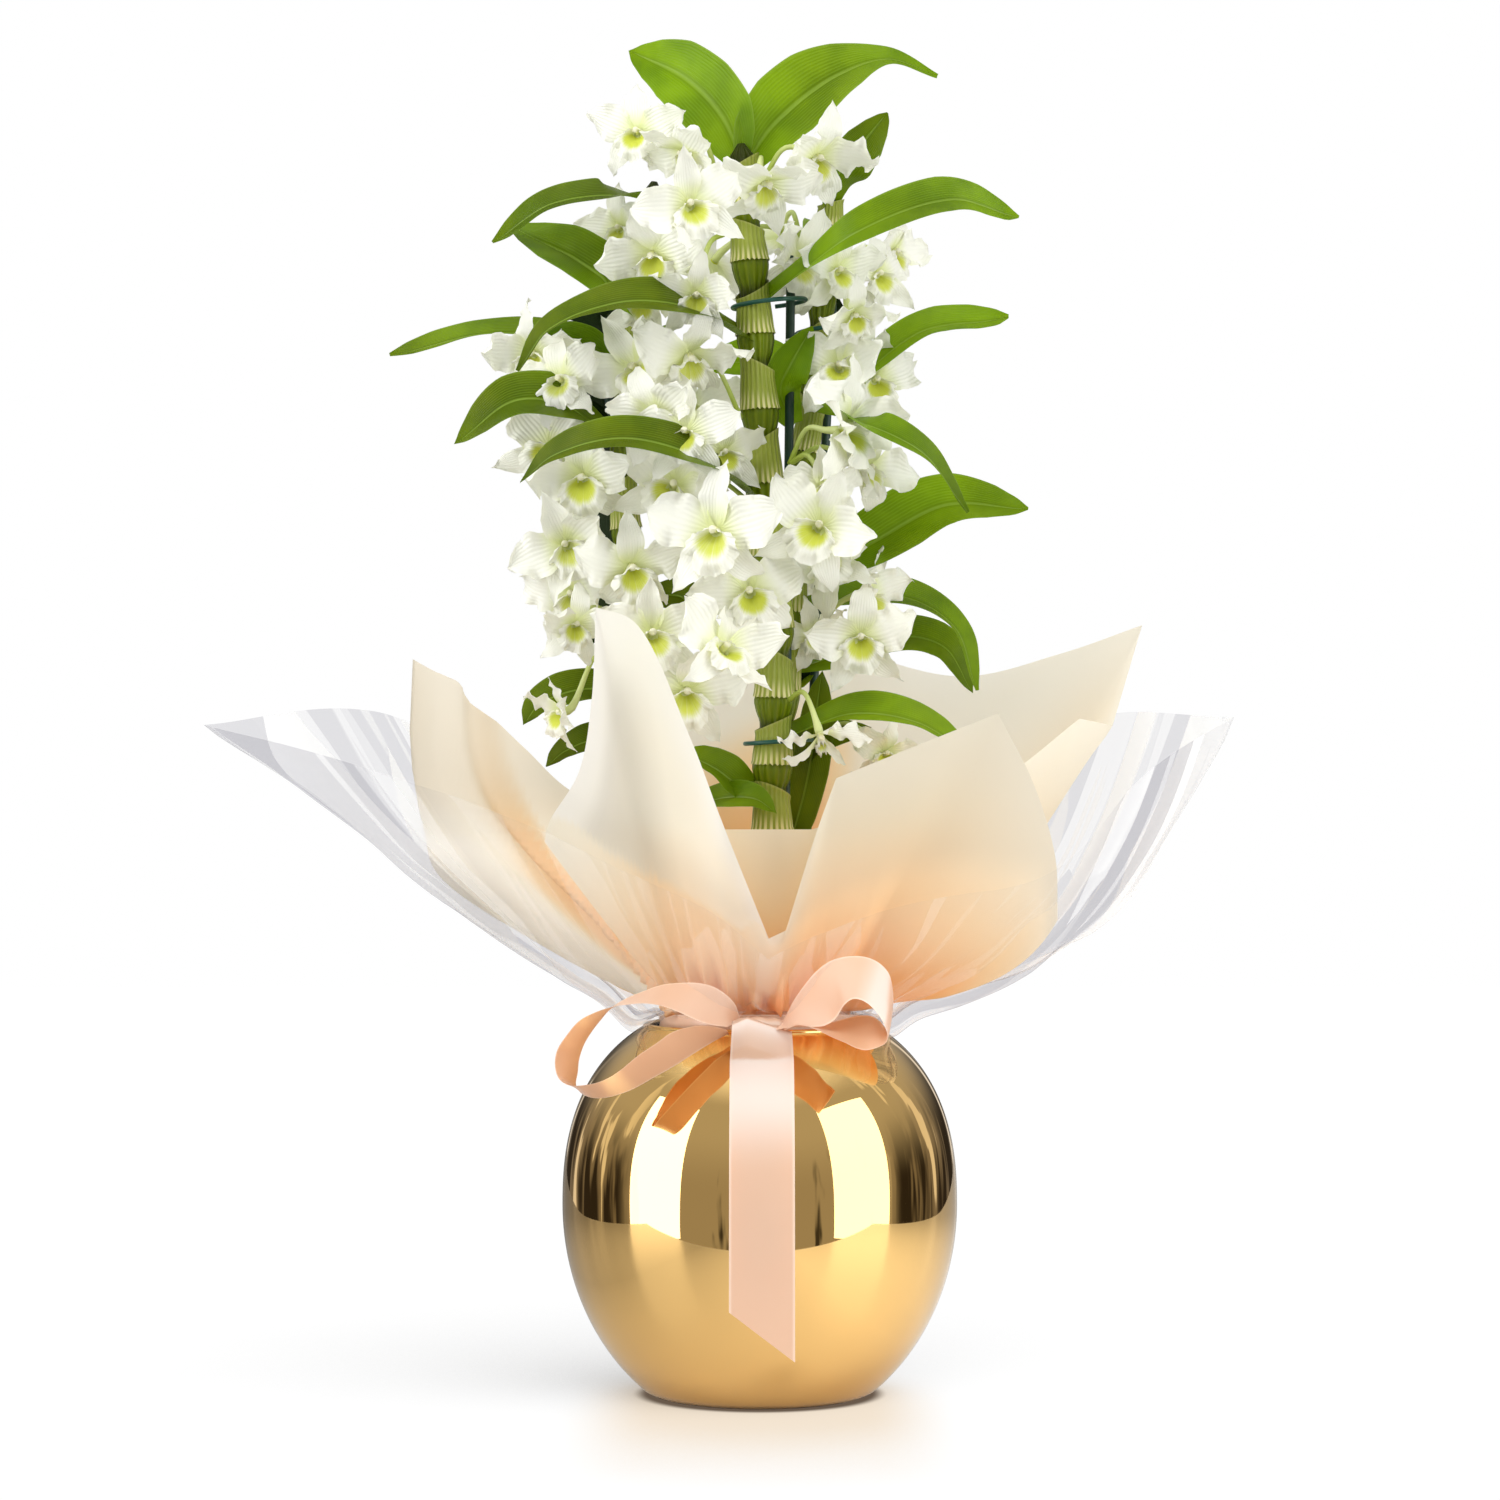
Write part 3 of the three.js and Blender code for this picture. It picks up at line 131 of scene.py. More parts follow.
# Each spray: its root, then for each bloom its place, turn, tip, roll and size.
SPRAYS = {
    "top_left": ((-20, -18, 582), [((-58, -20, 604), -20, 0, 0, 0.75), ((-35, -38, 594), -60, -30, 20, 0.7)]),
    "upper_front": ((-17, -22, 556), [
        ((-33, -70, 563), -5, -10, 0, 0.85), ((-50, -45, 544), -21, -32, -7, 0.85),
        ((-30, -50, 524), 15, -15, 0, 0.7)]),
    "top_right": ((1, -23, 580), [((2, -46, 578), 10, -35, 10, 0.85), ((26, -25, 592), 45, -20, -15, 0.85)]),
    "left_top": ((-60, -2, 545), [((-56, -18, 526), -9, -30, -1, 0.7), ((-66, -10, 560), -26, -5, 9, 0.65)]),
    "right_top": ((22, 20, 548), [((18, 6, 545), 18, -10, -8, 0.9), ((36, -22, 538), 14, -13, 9, 0.72)]),
    "right_upper": ((42, 22, 538), [
        ((56, 8, 540), 25, -5, 0, 0.72), ((44, -30, 517), 15, -20, 0, 0.65),
        ((64, 29, 553), 60, 11, -6, 0.72)]),
    "left_far": ((-73, 4, 490), [((-108, -12, 500), -22, -5, -11, 0.8), ((-94, -26, 485), -10, 2, 11, 0.8)]),
    "left_inner": ((-52, -2, 484), [((-58, -28, 490), -35, 6, 17, 0.9), ((-49, -54, 467), -1, -11, 16, 0.8)]),
    "front_upper": ((-9, -28, 468), [
        ((-34, -41, 497), 5, -34, -3, 0.9), ((-34, -62, 458), 0, -10, 0, 0.8),
        ((-18, -37, 451), 25, -15, -5, 0.7)]),
    "right_inner": ((33, 14, 478), [((38, -16, 492), 12, 7, -21, 0.82), ((55, -1, 488), 24, 8, 7, 0.8)]),
    "right_middle": ((14, -25, 446), [
        ((38, -41, 461), 72, 7, -7, 1.05), ((30, -42, 434), -10, -10, 0, 0.6),
        ((50, -19, 444), 32, 3, -7, 0.78)]),
    "left_middle": ((-75, 2, 434), [
        ((-101, 11, 455), -28, 12, -25, 0.85), ((-84, -23, 440), 6, -23, 18, 0.9)]),
    "left_lower": ((-74, 6, 404), [((-92, -20, 408), -10, 0, 15, 0.85), ((-90, 0, 386), -25, -10, 0, 0.82)]),
    "left_low": ((-66, -2, 366), [((-88, -28, 370), 0, -10, 0, 0.68), ((-94, -14, 328), -30, -10, 0, 0.6)]),
    "middle_left": ((-50, -6, 392), [
        ((-61, -38, 397), -5, -10, 0, 0.88), ((-51, -56, 364), 10, -5, 0, 0.88)]),
    "front_middle": ((-1, -30, 424), [((-20, -68, 412), 0, -10, 12, 1), ((-41, -22, 435), -3, 21, -22, 0.9)]),
    "front_lower": ((-1, -30, 368), [
        ((-5, -46, 384), 5, -15, 0, 0.9), ((-18, -78, 355), 25, 25, -10, 0.92),
        ((-35, -45, 338), 12, -18, -4, 0.9)]),
    "middle_right": ((20, -22, 412), [((28, -52, 414), 5, -5, -10, 0.95), ((35, -5, 400), -31, 17, 16, 0.9)]),
    "right_lower": ((26, 14, 356), [
        ((48, -22, 364), 20, -5, 0, 0.85), ((52, 8, 384), 41, -5, 8, 0.75), ((25, 6, 366), -4, 5, 8, 0.6)]),
    "front_low": ((14, -27, 334), [((28, -43, 318), 15, -61, -7, 0.7)]),
    "right_low": ((24, 14, 316), [((60, -6, 309), 20, -30, 0, 0.6)]),
    "back_top": ((20, 32, 560), [((12, 60, 566), 206, -30, -47, 0.95), ((-22, 50, 552), 215, -15, 0, 0.95)]),
    "back_upper": ((-52, 18, 470), [((-32, 52, 474), 190, -10, 0, 1), ((-70, 50, 480), 215, -5, 0, 1)]),
    "back_middle": ((22, 34, 400), [((-4, 62, 410), 185, -10, 0, 1), ((34, 70, 408), 160, -10, 0, 1)]),
}
TIES = {
    "front_upper": ((4.5, -10, 524), (17.5, 16.5), 2),
    "front_lower": ((9, -9, 314), (16, 17), 1),
    "left": ((-67, 13, 485), (16, 14), 1),
    "right_upper": ((31, 26, 515), (13, 14), 2),
    "right_lower": ((24, 27, 436), (14.5, 14.5), 2),
}
WIRE_RADIUS = 1.1
# Each point of a sheet's edge: x, y, z, then the sheet's bend below it where it isn't the usual one: how far
# out and how far up it lies, as shares of the way from the neck to the edge, and how sharp it is.
BEND = (0.45, 0.28, 1)
FILM_BEND = (0.45, 0.08, 1)
INNER_EDGE = [
    (-18, -66, 273), (24, -66, 273), (70, -58, 286), (112, -40, 296), (153, -15, 325, 0.7, 0.3, 1.2),
    (172, 22, 322, 0.6, 0.3, 1), (190, 60, 372, 0.6, 0.28, 1), (150, 76, 358), (101, 84, 347), (40, 90, 362),
    (-20, 84, 338), (-85, 66, 290), (-130, 44, 300, 0.9, 0.34, 2), (-168, 10, 354, 1.06, 0.42, 9),
    (-144, -10, 340, 1.06, 0.42, 6), (-112, -26, 311, 0.8, 0.34, 2), (-88, -40, 290), (-52, -56, 279),
]
OUTER_EDGE = [
    (-101, -55, 267, 0.48, 0.45, 1), (-98, -66, 277, 0.52, 0.38, 1.1), (-84, -76, 300), (-78, -80, 333),
    (-76, -82, 376), (-58, -86, 369), (-32, -88, 315), (-18, -88, 278), (4, -64, 222), (12, -68, 226),
    (26, -84, 272), (35, -88, 297), (72, -88, 312), (110, -84, 327), (127, -74, 294, 0.65, 0.28, 1.2),
    (138, -60, 260, 0.85, 0.3, 1.8), (140, -48, 230, 0.8, 0.2, 1.3),
]
FILM_EDGE = [
    (4, -76, 214, 0.4, 0.08, 1), (-26, -86, 237), (-56, -92, 251), (-100, -80, 272), (-180, -42, 300),
    (-268, 0, 322, 0.42, 0.12, 1), (-190, 60, 329), (-110, 96, 288), (0, 113, 300),
    (100, 110, 300, 0.6, 0.08, 1), (170, 76, 327, 0.7, 0.08, 1.2), (231, 20, 326, 0.78, 0.12, 1.8),
    (184, -34, 300, 0.75, 0.08, 1.2), (132, -84, 252, 0.6, 0.08, 1), (70, -96, 240), (30, -88, 226),
]
# The points of an edge at which it has a corner.
INNER_CORNERS = (1, 4, 5, 6, 9, 12, 13)
OUTER_CORNERS = (4, 8, 9, 11, 13, 16)
FILM_CORNERS = (5, 11)
# Single folds: azimuth, height and half width in degrees, the share where each has faded, and a slant.
INNER_FOLDS = [(182.5, -7, 2.5, 1.4, 27.8), (186.5, 7, 2.5, 1.4, 27.8)]
OUTER_FOLDS = [(305, 2, 10, 0.9), (318, -4, 8, 0.8), (281, 5, 2.5, 0.5)]
# The crease across the outer sheet: azimuths in degrees and its height there as a share of the sheet's.
OUTER_CREASE = (
    [213, 216, 221, 224, 225.5, 227, 228.5, 236, 243, 250, 256, 262,
     272, 284, 286, 289, 292, 303, 318, 323, 326, 330, 335],
    [1.05, 0.975, 0.8, 0.685, 0.588, 0.475, 0.448, 0.429, 0.443, 0.478, 0.54, 0.635,
     1, 0.77, 0.69, 0.605, 0.582, 0.605, 0.604, 0.627, 0.68, 0.765, 0.91],
)
BAND = {"height": 11, "radius": 48.1, "drop": 7}
KNOT = {"at": (-1, -60, 181), "size": (13, 7, 7.5)}
# The tail: its middle line, the slanting cut at its foot, its gap to the vase, its top fold and its fall.
TAIL = {"centre": 0.8, "low_left": 52, "low_right": 29, "off": 1.5, "fold": -66, "fall": 140}
# Each bow loop from the knot round to the knot again: x and z of the near edge and of the far edge, then the
# middle's depth and the ribbon's width.
LOOPS = {
    "left": [
        (-15.2, 181.2, -9.2, 183.3, -62, 16), (-21.9, 182.5, -12.0, 191.3, -66, 24),
        (-27.5, 184.4, -19.7, 198.1, -70, 30), (-33.8, 187.5, -28.1, 201.0, -74, 30),
        (-40.0, 190.5, -37.4, 201.3, -77, 30), (-46.3, 192.7, -45.7, 200.5, -80, 30),
        (-53.3, 193.8, -53.6, 198.0, -83, 30), (-60.5, 193.5, -60.9, 195.2, -86, 30),
        (-67.8, 192.5, -67.9, 191.3, -88, 30), (-75.0, 190.4, -74.2, 184.4, -91, 30),
        (-82.7, 186.4, -78.8, 178.3, -93, 30), (-88.5, 179.7, -81.7, 173.1, -95, 30),
        (-92.7, 172.9, -83.7, 166.7, -96, 30), (-93.5, 166.1, -84.2, 161.2, -97, 30),
        (-91.6, 160.3, -85.1, 155.7, -97, 30), (-87.5, 157.5, -83.3, 151.9, -97, 30),
        (-82.1, 157.3, -79.1, 149.6, -97, 30), (-75.2, 158.3, -73.1, 149.1, -96, 30),
        (-69.7, 160.3, -66.7, 150.3, -95, 30), (-64.2, 163.7, -59.3, 152.9, -94, 30),
        (-55.8, 170.5, -49.6, 158.1, -92, 30), (-47.5, 175.9, -39.9, 163.4, -89, 30),
        (-40.0, 180.8, -30.7, 169.0, -85, 30), (-30.2, 183.1, -22.9, 173.5, -80, 28),
        (-21.8, 182.5, -17.3, 176.4, -75, 22), (-15.8, 180.5, -14.7, 177.4, -70, 14),
    ],
    "right": [
        (7.4, 179.7, 8.9, 181.6, -62, 14), (14.3, 181.6, 12.0, 185.5, -66, 22),
        (22.1, 182.3, 16.3, 193.6, -71, 28), (28.9, 182.8, 21.2, 201.1, -77, 30),
        (33.9, 185.8, 26.1, 207.2, -82, 30), (36.5, 189.7, 31.7, 211.7, -86, 30),
        (38.6, 193.5, 37.3, 213.9, -90, 30), (42.4, 196.3, 44.4, 214.8, -93, 30),
        (46.6, 195.7, 50.7, 213.8, -95, 30), (50.6, 193.1, 56.2, 210.7, -97, 30),
        (54.1, 189.0, 59.8, 205.8, -98, 30), (56.1, 185.6, 61.2, 198.7, -99, 30),
        (57.2, 182.6, 61.4, 192.3, -99, 30), (57.8, 180.0, 60.4, 185.4, -99, 30),
        (57.1, 176.8, 58.6, 181.0, -99, 30), (54.4, 175.1, 56.0, 184.0, -98, 30),
        (48.6, 173.2, 51.5, 187.0, -95, 30), (43.6, 174.0, 45.5, 187.0, -92, 30),
        (38.8, 176.2, 40.0, 185.5, -89, 30), (34.0, 178.1, 35.3, 184.0, -87, 30),
        (28.5, 180.6, 29.7, 183.0, -85, 30), (22.9, 182.7, 23.7, 183.3, -81, 28),
        (17.4, 183.1, 17.7, 183.4, -76, 22), (11.1, 180.2, 10.7, 182.1, -70, 14),
    ],
}


# Curves and numbers

UP = np.array((0.0, 0.0, 1.0))


def unit(v):
    v = np.asarray(v, float)
    return v / np.maximum(np.linalg.norm(v, axis=-1, keepdims=True), 1e-9)


def smooth(low, high, x):
    t = np.clip((np.asarray(x, float) - low) / (high - low), 0, 1)
    return t * t * (3 - 2 * t)


def turns(count):
    """Angles once round, in even steps."""
    return np.arange(count) * 2 * np.pi / count


def spline(points, per_span=24):
    """Points on the centripetal Catmull-Rom curve through the given rows.

    The first three columns are a place, and any others are carried along.
    """
    p = np.array(points, float)
    p = np.vstack([2 * p[0] - p[1], p, 2 * p[-1] - p[-2]])
    out = []
    t = np.linspace(0, 1, per_span, endpoint=False)[:, None]
    for a, b, c, d in zip(p, p[1:], p[2:], p[3:]):
        g, h, k = (max(np.linalg.norm(q[:3] - r[:3]), 1e-4) ** 0.5 for q, r in ((b, a), (c, b), (d, c)))
        first = ((b - a) / g - (c - a) / (g + h) + (c - b) / h) * h
        last = ((c - b) / h - (d - b) / (h + k) + (d - c) / k) * h
        square = 3 * (c - b) - 2 * first - last
        cube = 2 * (b - c) + first + last
        out.append(b + first * t + square * t**2 + cube * t**3)
    out.append(p[-2][None])
    return np.vstack(out)


def spaced(points, shares):
    """The curve's rows at the given shares of its length."""
    dense = spline(points)
    length = np.concatenate([[0], np.cumsum(np.linalg.norm(np.diff(dense[:, :3], axis=0), axis=1))])
    where = np.asarray(shares, float) * length[-1]
    return np.stack([np.interp(where, length, column) for column in dense.T], axis=1)


def along(points):
    """The curve's direction at each of its points."""
    return unit(np.gradient(points, axis=0))


class Shape:
    """Vertices in mm, faces, and each vertex's place: across, along and one more number for the material."""

    def __init__(self):
        self.points, self.places, self.faces, self.slots = [], [], [], []
        self.count = 0

    def grid(self, points, place=(0, 0, 0), slot=0, ring=False, caps=False):
        points = np.asarray(points, float)
        rows, columns = points.shape[:2]
        channels = np.broadcast_arrays(*place, np.zeros((rows, columns)))[:3]
        index = self.count + np.arange(rows * columns).reshape(rows, columns)
        self.points.append(points.reshape(-1, 3))
        self.places.append(np.stack(channels, -1).reshape(-1, 3))
        self.count += rows * columns
        if ring:
            index = np.hstack([index, index[:, :1]])
        corners = (index[:-1, :-1], index[:-1, 1:], index[1:, 1:], index[1:, :-1])
        faces = np.stack(corners, -1).reshape(-1, 4).tolist()
        if caps:
            faces += [index[0, :columns][::-1].tolist(), index[-1, :columns].tolist()]
        self.faces += faces
        self.slots += [slot] * len(faces)

    def tube(self, centres, radii, sides=12, slot=0, start=(0, 1, 0)):
        """A closed tube along the centres. Start is any way that the centres don't run in at first."""
        centres = np.asarray(centres, float)
        radii = np.broadcast_to(np.asarray(radii, float), len(centres))[:, None, None]
        tangent = along(centres)
        across = unit(np.cross(np.broadcast_to(start, centres.shape), tangent))
        for i in range(1, len(across)):  # carried along without a twist
            across[i] = unit(across[i - 1] - tangent[i] * (across[i - 1] @ tangent[i]))
        away = np.cross(tangent, across)
        angle = turns(sides)[None, :, None]
        rings = centres[:, None] + radii * (np.cos(angle) * across[:, None] + np.sin(angle) * away[:, None])
        u = np.linspace(0, 1, len(centres))[:, None]
        self.grid(rings, (angle[..., 0] / (2 * np.pi), u, 0), slot, ring=True, caps=True)

    def piece(self, name, materials, replaces=(), flat_shaded=False):
        mesh = bpy.data.meshes.new(name)
        mesh.from_pydata((np.vstack(self.points) * MM).tolist(), [], self.faces)
        attribute = mesh.attributes.new("place", "FLOAT_VECTOR", "POINT")
        attribute.data.foreach_set("vector", np.vstack(self.places).ravel())
        for material in materials:
            mesh.materials.append(material)
        mesh.polygons.foreach_set("material_index", self.slots)
        mesh.polygons.foreach_set("use_smooth", [not flat_shaded] * len(self.faces))
        mesh.update()
        obj = bpy.data.objects.new(name, mesh)
        bpy.context.scene.collection.objects.link(obj)
        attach(obj, "root")
        if replaces:
            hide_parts(*replaces)
        return obj


def surface(name, material, node, slot, points, place=(0, 0, 0), ring=False):
    """A piece made of one grid in one material, in the place of one node."""
    shape = Shape()
    shape.grid(points, place, ring=ring)
    return shape.piece(name, [material], [node])


# Materials

class Nodes:
    """The node tree of a new material or of the world, built by calls that return sockets."""

    def __init__(self, owner):
        self.owner = bpy.data.materials.new(owner) if isinstance(owner, str) else owner
        self.owner.use_nodes = True
        self.tree = self.owner.node_tree
        self.tree.nodes.clear()

    def add(self, kind, inputs=None, out=0, **props):
        """A new node's output with that number or name, or all of its outputs when out is None."""
        node = self.tree.nodes.new("ShaderNode" + kind)
        for key, value in props.items():
            setattr(node, key, value)
        for key, value in (inputs or {}).items():
            self.put(node.inputs[key], value)
        return node.outputs if out is None else node.outputs[out]

    def put(self, socket, value):
        if isinstance(value, bpy.types.NodeSocket):
            self.tree.links.new(value, socket)
        elif socket.type == "RGBA" and len(value) == 3:
            socket.default_value = (*value, 1)
        else:
            socket.default_value = value

    def math(self, operation, a, b=0.0, c=0.0, clamp=False):
        return self.add("Math", {0: a, 1: b, 2: c}, operation=operation, use_clamp=clamp)

    def times(self, a, b):
        return self.math("MULTIPLY", a, b)

    def plus(self, a, b, clamp=False):
        return self.math("ADD", a, b, clamp=clamp)

    def most(self, *values):
        out = values[0]
        for value in values[1:]:
            out = self.math("MAXIMUM", out, value)
        return out

    def size(self, a):
        return self.math("ABSOLUTE", a)

    def swing(self, value, width, middle=0.5):
        """A value shifted to lie about zero, and made that many times as wide."""
        return self.times(self.math("SUBTRACT", value, middle), width)

    def step(self, x, low, high):
        """0 where x is at low and 1 where it is at high, with a smooth way between."""
        inputs = {0: x, 1: low, 2: high, 3: 0.0, 4: 1.0}
        return self.add("MapRange", inputs, interpolation_type="SMOOTHSTEP")

    def mix(self, share, a, b, blend="MIX"):
        inputs = {0: share, 6: a, 7: b}
        return self.add("Mix", inputs, out=2, data_type="RGBA", blend_type=blend, clamp_factor=True)

    def over(self, colour, mask, strength, top):
        """The colour with a top colour laid over it where the mask is, at that strength."""
        return self.mix(self.times(mask, strength), colour, top)

    def ramp(self, x, colour, *stops):
        """A colour that changes with x. Each stop says where the change starts and ends, and to what."""
        for low, high, after in stops:
            colour = self.mix(self.step(x, low, high), colour, after)
        return colour

    def noise(self, scale, detail=3.0, vector=None, rough=0.5):
        inputs = {"Scale": scale, "Detail": detail, "Roughness": rough}
        return self.add("TexNoise", {**inputs, "Vector": vector or self.position()})

    def wave(self, vector, scale, distortion, detail=2.0, detail_scale=1.0):
        inputs = {"Vector": vector, "Scale": scale, "Distortion": distortion, "Detail": detail}
        return self.add("TexWave", {**inputs, "Detail Scale": detail_scale})

    def place(self):
        """The place that the shape gave each vertex: the vector, then its three numbers."""
        vector = self.add("Attribute", out="Vector", attribute_name="place")
        return vector, *self.parts(vector)

    def parts(self, vector):
        return self.add("SeparateXYZ", {0: vector}, out=None)

    def scaled(self, vector, scale):
        return self.add("Mapping", {"Vector": vector, "Scale": scale})

    def position(self):
        return self.add("TexCoord", out="Object")

    def principled(self, colour, rough, bump=None, specular=0.5, **more):
        """A Principled surface. Bump is a height, its strength and its distance in metres."""
        inputs = {"Base Color": colour, "Roughness": rough, "Specular IOR Level": specular}
        inputs.update({key.replace("_", " ").title(): value for key, value in more.items()})
        if bump:
            bump = dict(zip(("Height", "Strength", "Distance"), bump))
            inputs["Normal"] = self.add("Bump", bump)
        return self.add("BsdfPrincipled", inputs)

    def thin(self, front, glow, share):
        """A surface that lets some light through, for petals, leaves, paper and ribbon."""
        return self.add("MixShader", {0: share, 1: front, 2: self.add("BsdfTranslucent", {"Color": glow})})

    def finish(self, shader, kind="Material"):
        output = self.tree.nodes.new("ShaderNodeOutput" + kind)
        self.tree.links.new(shader, output.inputs[0])
        return self.owner


def petal_material():
    """White with a green tinge at its base, and lime where the third number is high."""
    n = Nodes("petal_white")
    vector, _, u, lime = n.place()
    streak = n.noise(1, 2, n.scaled(vector, (14, 1.2, 0)))
    fleck = n.noise(120, 3)
    patch = n.step(n.plus(lime, n.swing(streak, 0.6)), 0.1, 0.95)
    base = n.step(u, 0.46, 0.04)
    white = n.over((0.905, 0.905, 0.84), base, 0.85, (0.74, 0.81, 0.32))
    white = n.over(white, n.step(fleck, 0.4, 0.8), 0.2, (0.85, 0.85, 0.76))
    colour = n.over(white, patch, 0.95, (0.62, 0.69, 0.045))
    glow = n.mix(patch, n.over((0.95, 0.935, 0.76), base, 0.6, (0.86, 0.91, 0.4)), (0.86, 0.86, 0.08))
    vein = n.wave(n.scaled(vector, (1, 0.06, 0)), 3.2, 2.5, 2.0, 1.2)
    height = n.plus(n.times(vein, 0.6), n.times(fleck, 0.5))
    return n.finish(n.thin(n.principled(colour, 0.42, (height, 0.4, 0.0008), 0.4), glow, 0.26))


def column_material():
    n = Nodes("column")
    _, _, u, _ = n.place()
    colour = n.ramp(u, (0.86, 0.87, 0.4), (0.4, 0.75, (0.97, 0.94, 0.8)))
    colour = n.over(colour, n.noise(300, 2), 0.25, (0.97, 0.96, 0.88))
    return n.finish(n.thin(n.principled(colour, 0.5), (0.98, 0.97, 0.8), 0.45))


def pedicel_material():
    n = Nodes("pedicel")
    _, _, u, _ = n.place()
    colour = n.ramp(u, (0.76, 0.82, 0.4), (0.2, 0.95, (0.36, 0.47, 0.05)))
    colour = n.over(colour, n.noise(200, 2), 0.3, (0.5, 0.58, 0.12))
    return n.finish(n.thin(n.principled(colour, 0.4), (0.78, 0.82, 0.25), 0.25))


def leaf_material():
    """Tone 0 is a bright leaf, 1 a dark one; towards 2 it darkens almost fully, as painted deep shade for
    leaves set where only shade lies between the blooms.
    """
    n = Nodes("leaf")
    vector, across, _, tone = n.place()
    side = n.size(across)
    veins = n.wave(n.scaled(vector, (1, 0.02, 0)), 3.6, 0.6, 1.0, 0.6)
    cloud = n.step(n.noise(38, 3), 0.3, 0.7)
    light = n.mix(cloud, (0.075, 0.165, 0.001), (0.2, 0.35, 0.004))
    dark = n.mix(cloud, (0.056, 0.083, 0.001), (0.118, 0.15, 0.003))
    shade = n.plus(tone, n.swing(n.noise(14, 2), 1.4, 0.45), clamp=True)
    midrib = n.math("SUBTRACT", 1.0, n.step(side, 0.02, 0.09))
    # painted shade in the groove on each side of the midrib
    painted_groove_shade = n.times(n.step(side, 0.2, 0.06), n.step(side, 0.03, 0.1))
    # painted deep shade: from tone 1.2 to 1.9 the leaf fades to a near-dark green
    painted_deep_shade = n.step(tone, 1.2, 1.9)
    colour = n.over(n.mix(shade, light, dark), n.step(veins, 0.35, 0.9), 0.25, (0.24, 0.4, 0.03))
    colour = n.over(colour, midrib, 0.55, (0.32, 0.46, 0.07))
    colour = n.over(colour, painted_groove_shade, 0.5, (0.04, 0.08, 0.002))
    colour = n.over(colour, n.step(side, 0.93, 1.0), 0.5, (0.32, 0.45, 0.08))
    colour = n.mix(painted_deep_shade, colour, (0.016, 0.03, 0.008))
    glow = n.mix(shade, (0.34, 0.58, 0.003), (0.09, 0.15, 0.002))
    glow = n.over(glow, midrib, 0.5, (0.1, 0.2, 0.004))
    glow = n.mix(painted_deep_shade, glow, (0.008, 0.018, 0.004))
    height = n.math("SUBTRACT", n.times(veins, 0.35), midrib)
    return n.finish(n.thin(n.principled(colour, 0.27, (height, 0.5, 0.001), 0.2), glow, 0.33))


def sheath_material():
    """Papery leaf sheath: khaki with pale fibres that end in a fringe at the node."""
    n = Nodes("sheath")
    vector, _, u, _ = n.place()
    fibres = n.wave(n.scaled(vector, (1, 0.015, 0)), 7.0, 1.2, 2.0, 1.5)
    fringe = n.times(n.step(u, 0.42, 0.0), n.step(fibres, 0.35, 0.6))
    colour = n.mix(n.noise(60, 4), (0.2, 0.26, 0.015), (0.34, 0.38, 0.06))
    colour = n.over(colour, n.step(fibres, 0.5, 0.95), 0.3, (0.38, 0.4, 0.12))
    colour = n.mix(fringe, colour, (0.68, 0.64, 0.3))
    colour = n.over(colour, n.step(u, 0.93, 1.0), 0.55, (0.42, 0.42, 0.14))
    return n.finish(n.principled(colour, 0.45, (fibres, 0.6, 0.0008), 0.3))


def stem_material():
    n = Nodes("stem")
    vector, _, u, _ = n.place()
    ribs = n.wave(n.scaled(vector, (1, 0.01, 0)), 4.2, 0.8, 1.0)
    colour = n.mix(n.noise(90, 3), (0.07, 0.11, 0.001), (0.17, 0.23, 0.004))
    colour = n.over(colour, n.step(ribs, 0.3, 0.85), 0.35, (0.2, 0.24, 0.01))
    # painted shade: the stem goes nearly dark in the lower part of each internode, inside the sheath
    colour = n.ramp(u, colour, (0.72, 0.5, (0.03, 0.04, 0.002)))
    return n.finish(n.principled(colour, 0.33, (ribs, 0.7, 0.001), 0.2))


def paper_material():
    """Orange at the neck, then peach, then cream at the edge: the paper's own peach and painted glow in its
    folds.
    The third number moves these further up the sheet, and the first darkens them as painted shade.
    """
    n = Nodes("paper")
    _, shade, u, warmth_and_painted_glow = n.place()
    fibre = n.noise(900, 4, rough=0.7)
    fade = n.math("SUBTRACT", n.plus(u, n.swing(n.noise(9, 2), 0.3)), warmth_and_painted_glow)
    colour = n.ramp(fade, (0.97, 0.54, 0.22), (-0.05, 0.3, (0.985, 0.71, 0.42)),
                    (0.2, 0.75, (0.96, 0.84, 0.64)), (0.6, 1.0, (0.96, 0.9, 0.77)),
                    (1.0, 1.3, (0.97, 0.945, 0.89)))
    colour = n.over(colour, fibre, 0.05, (0.8, 0.7, 0.55))
    glow = n.ramp(fade, (0.99, 0.42, 0.1), (-0.05, 0.45, (0.99, 0.72, 0.4)), (0.4, 1.0, (0.99, 0.94, 0.82)),
                  (1.0, 1.3, (0.97, 0.95, 0.9)))
    colour, glow = (n.mix(1.0, tint, shade, "MULTIPLY") for tint in (colour, glow))
    return n.finish(n.thin(n.principled(colour, 0.42, (fibre, 0.08, 0.0003), 0.4), glow, 0.45))


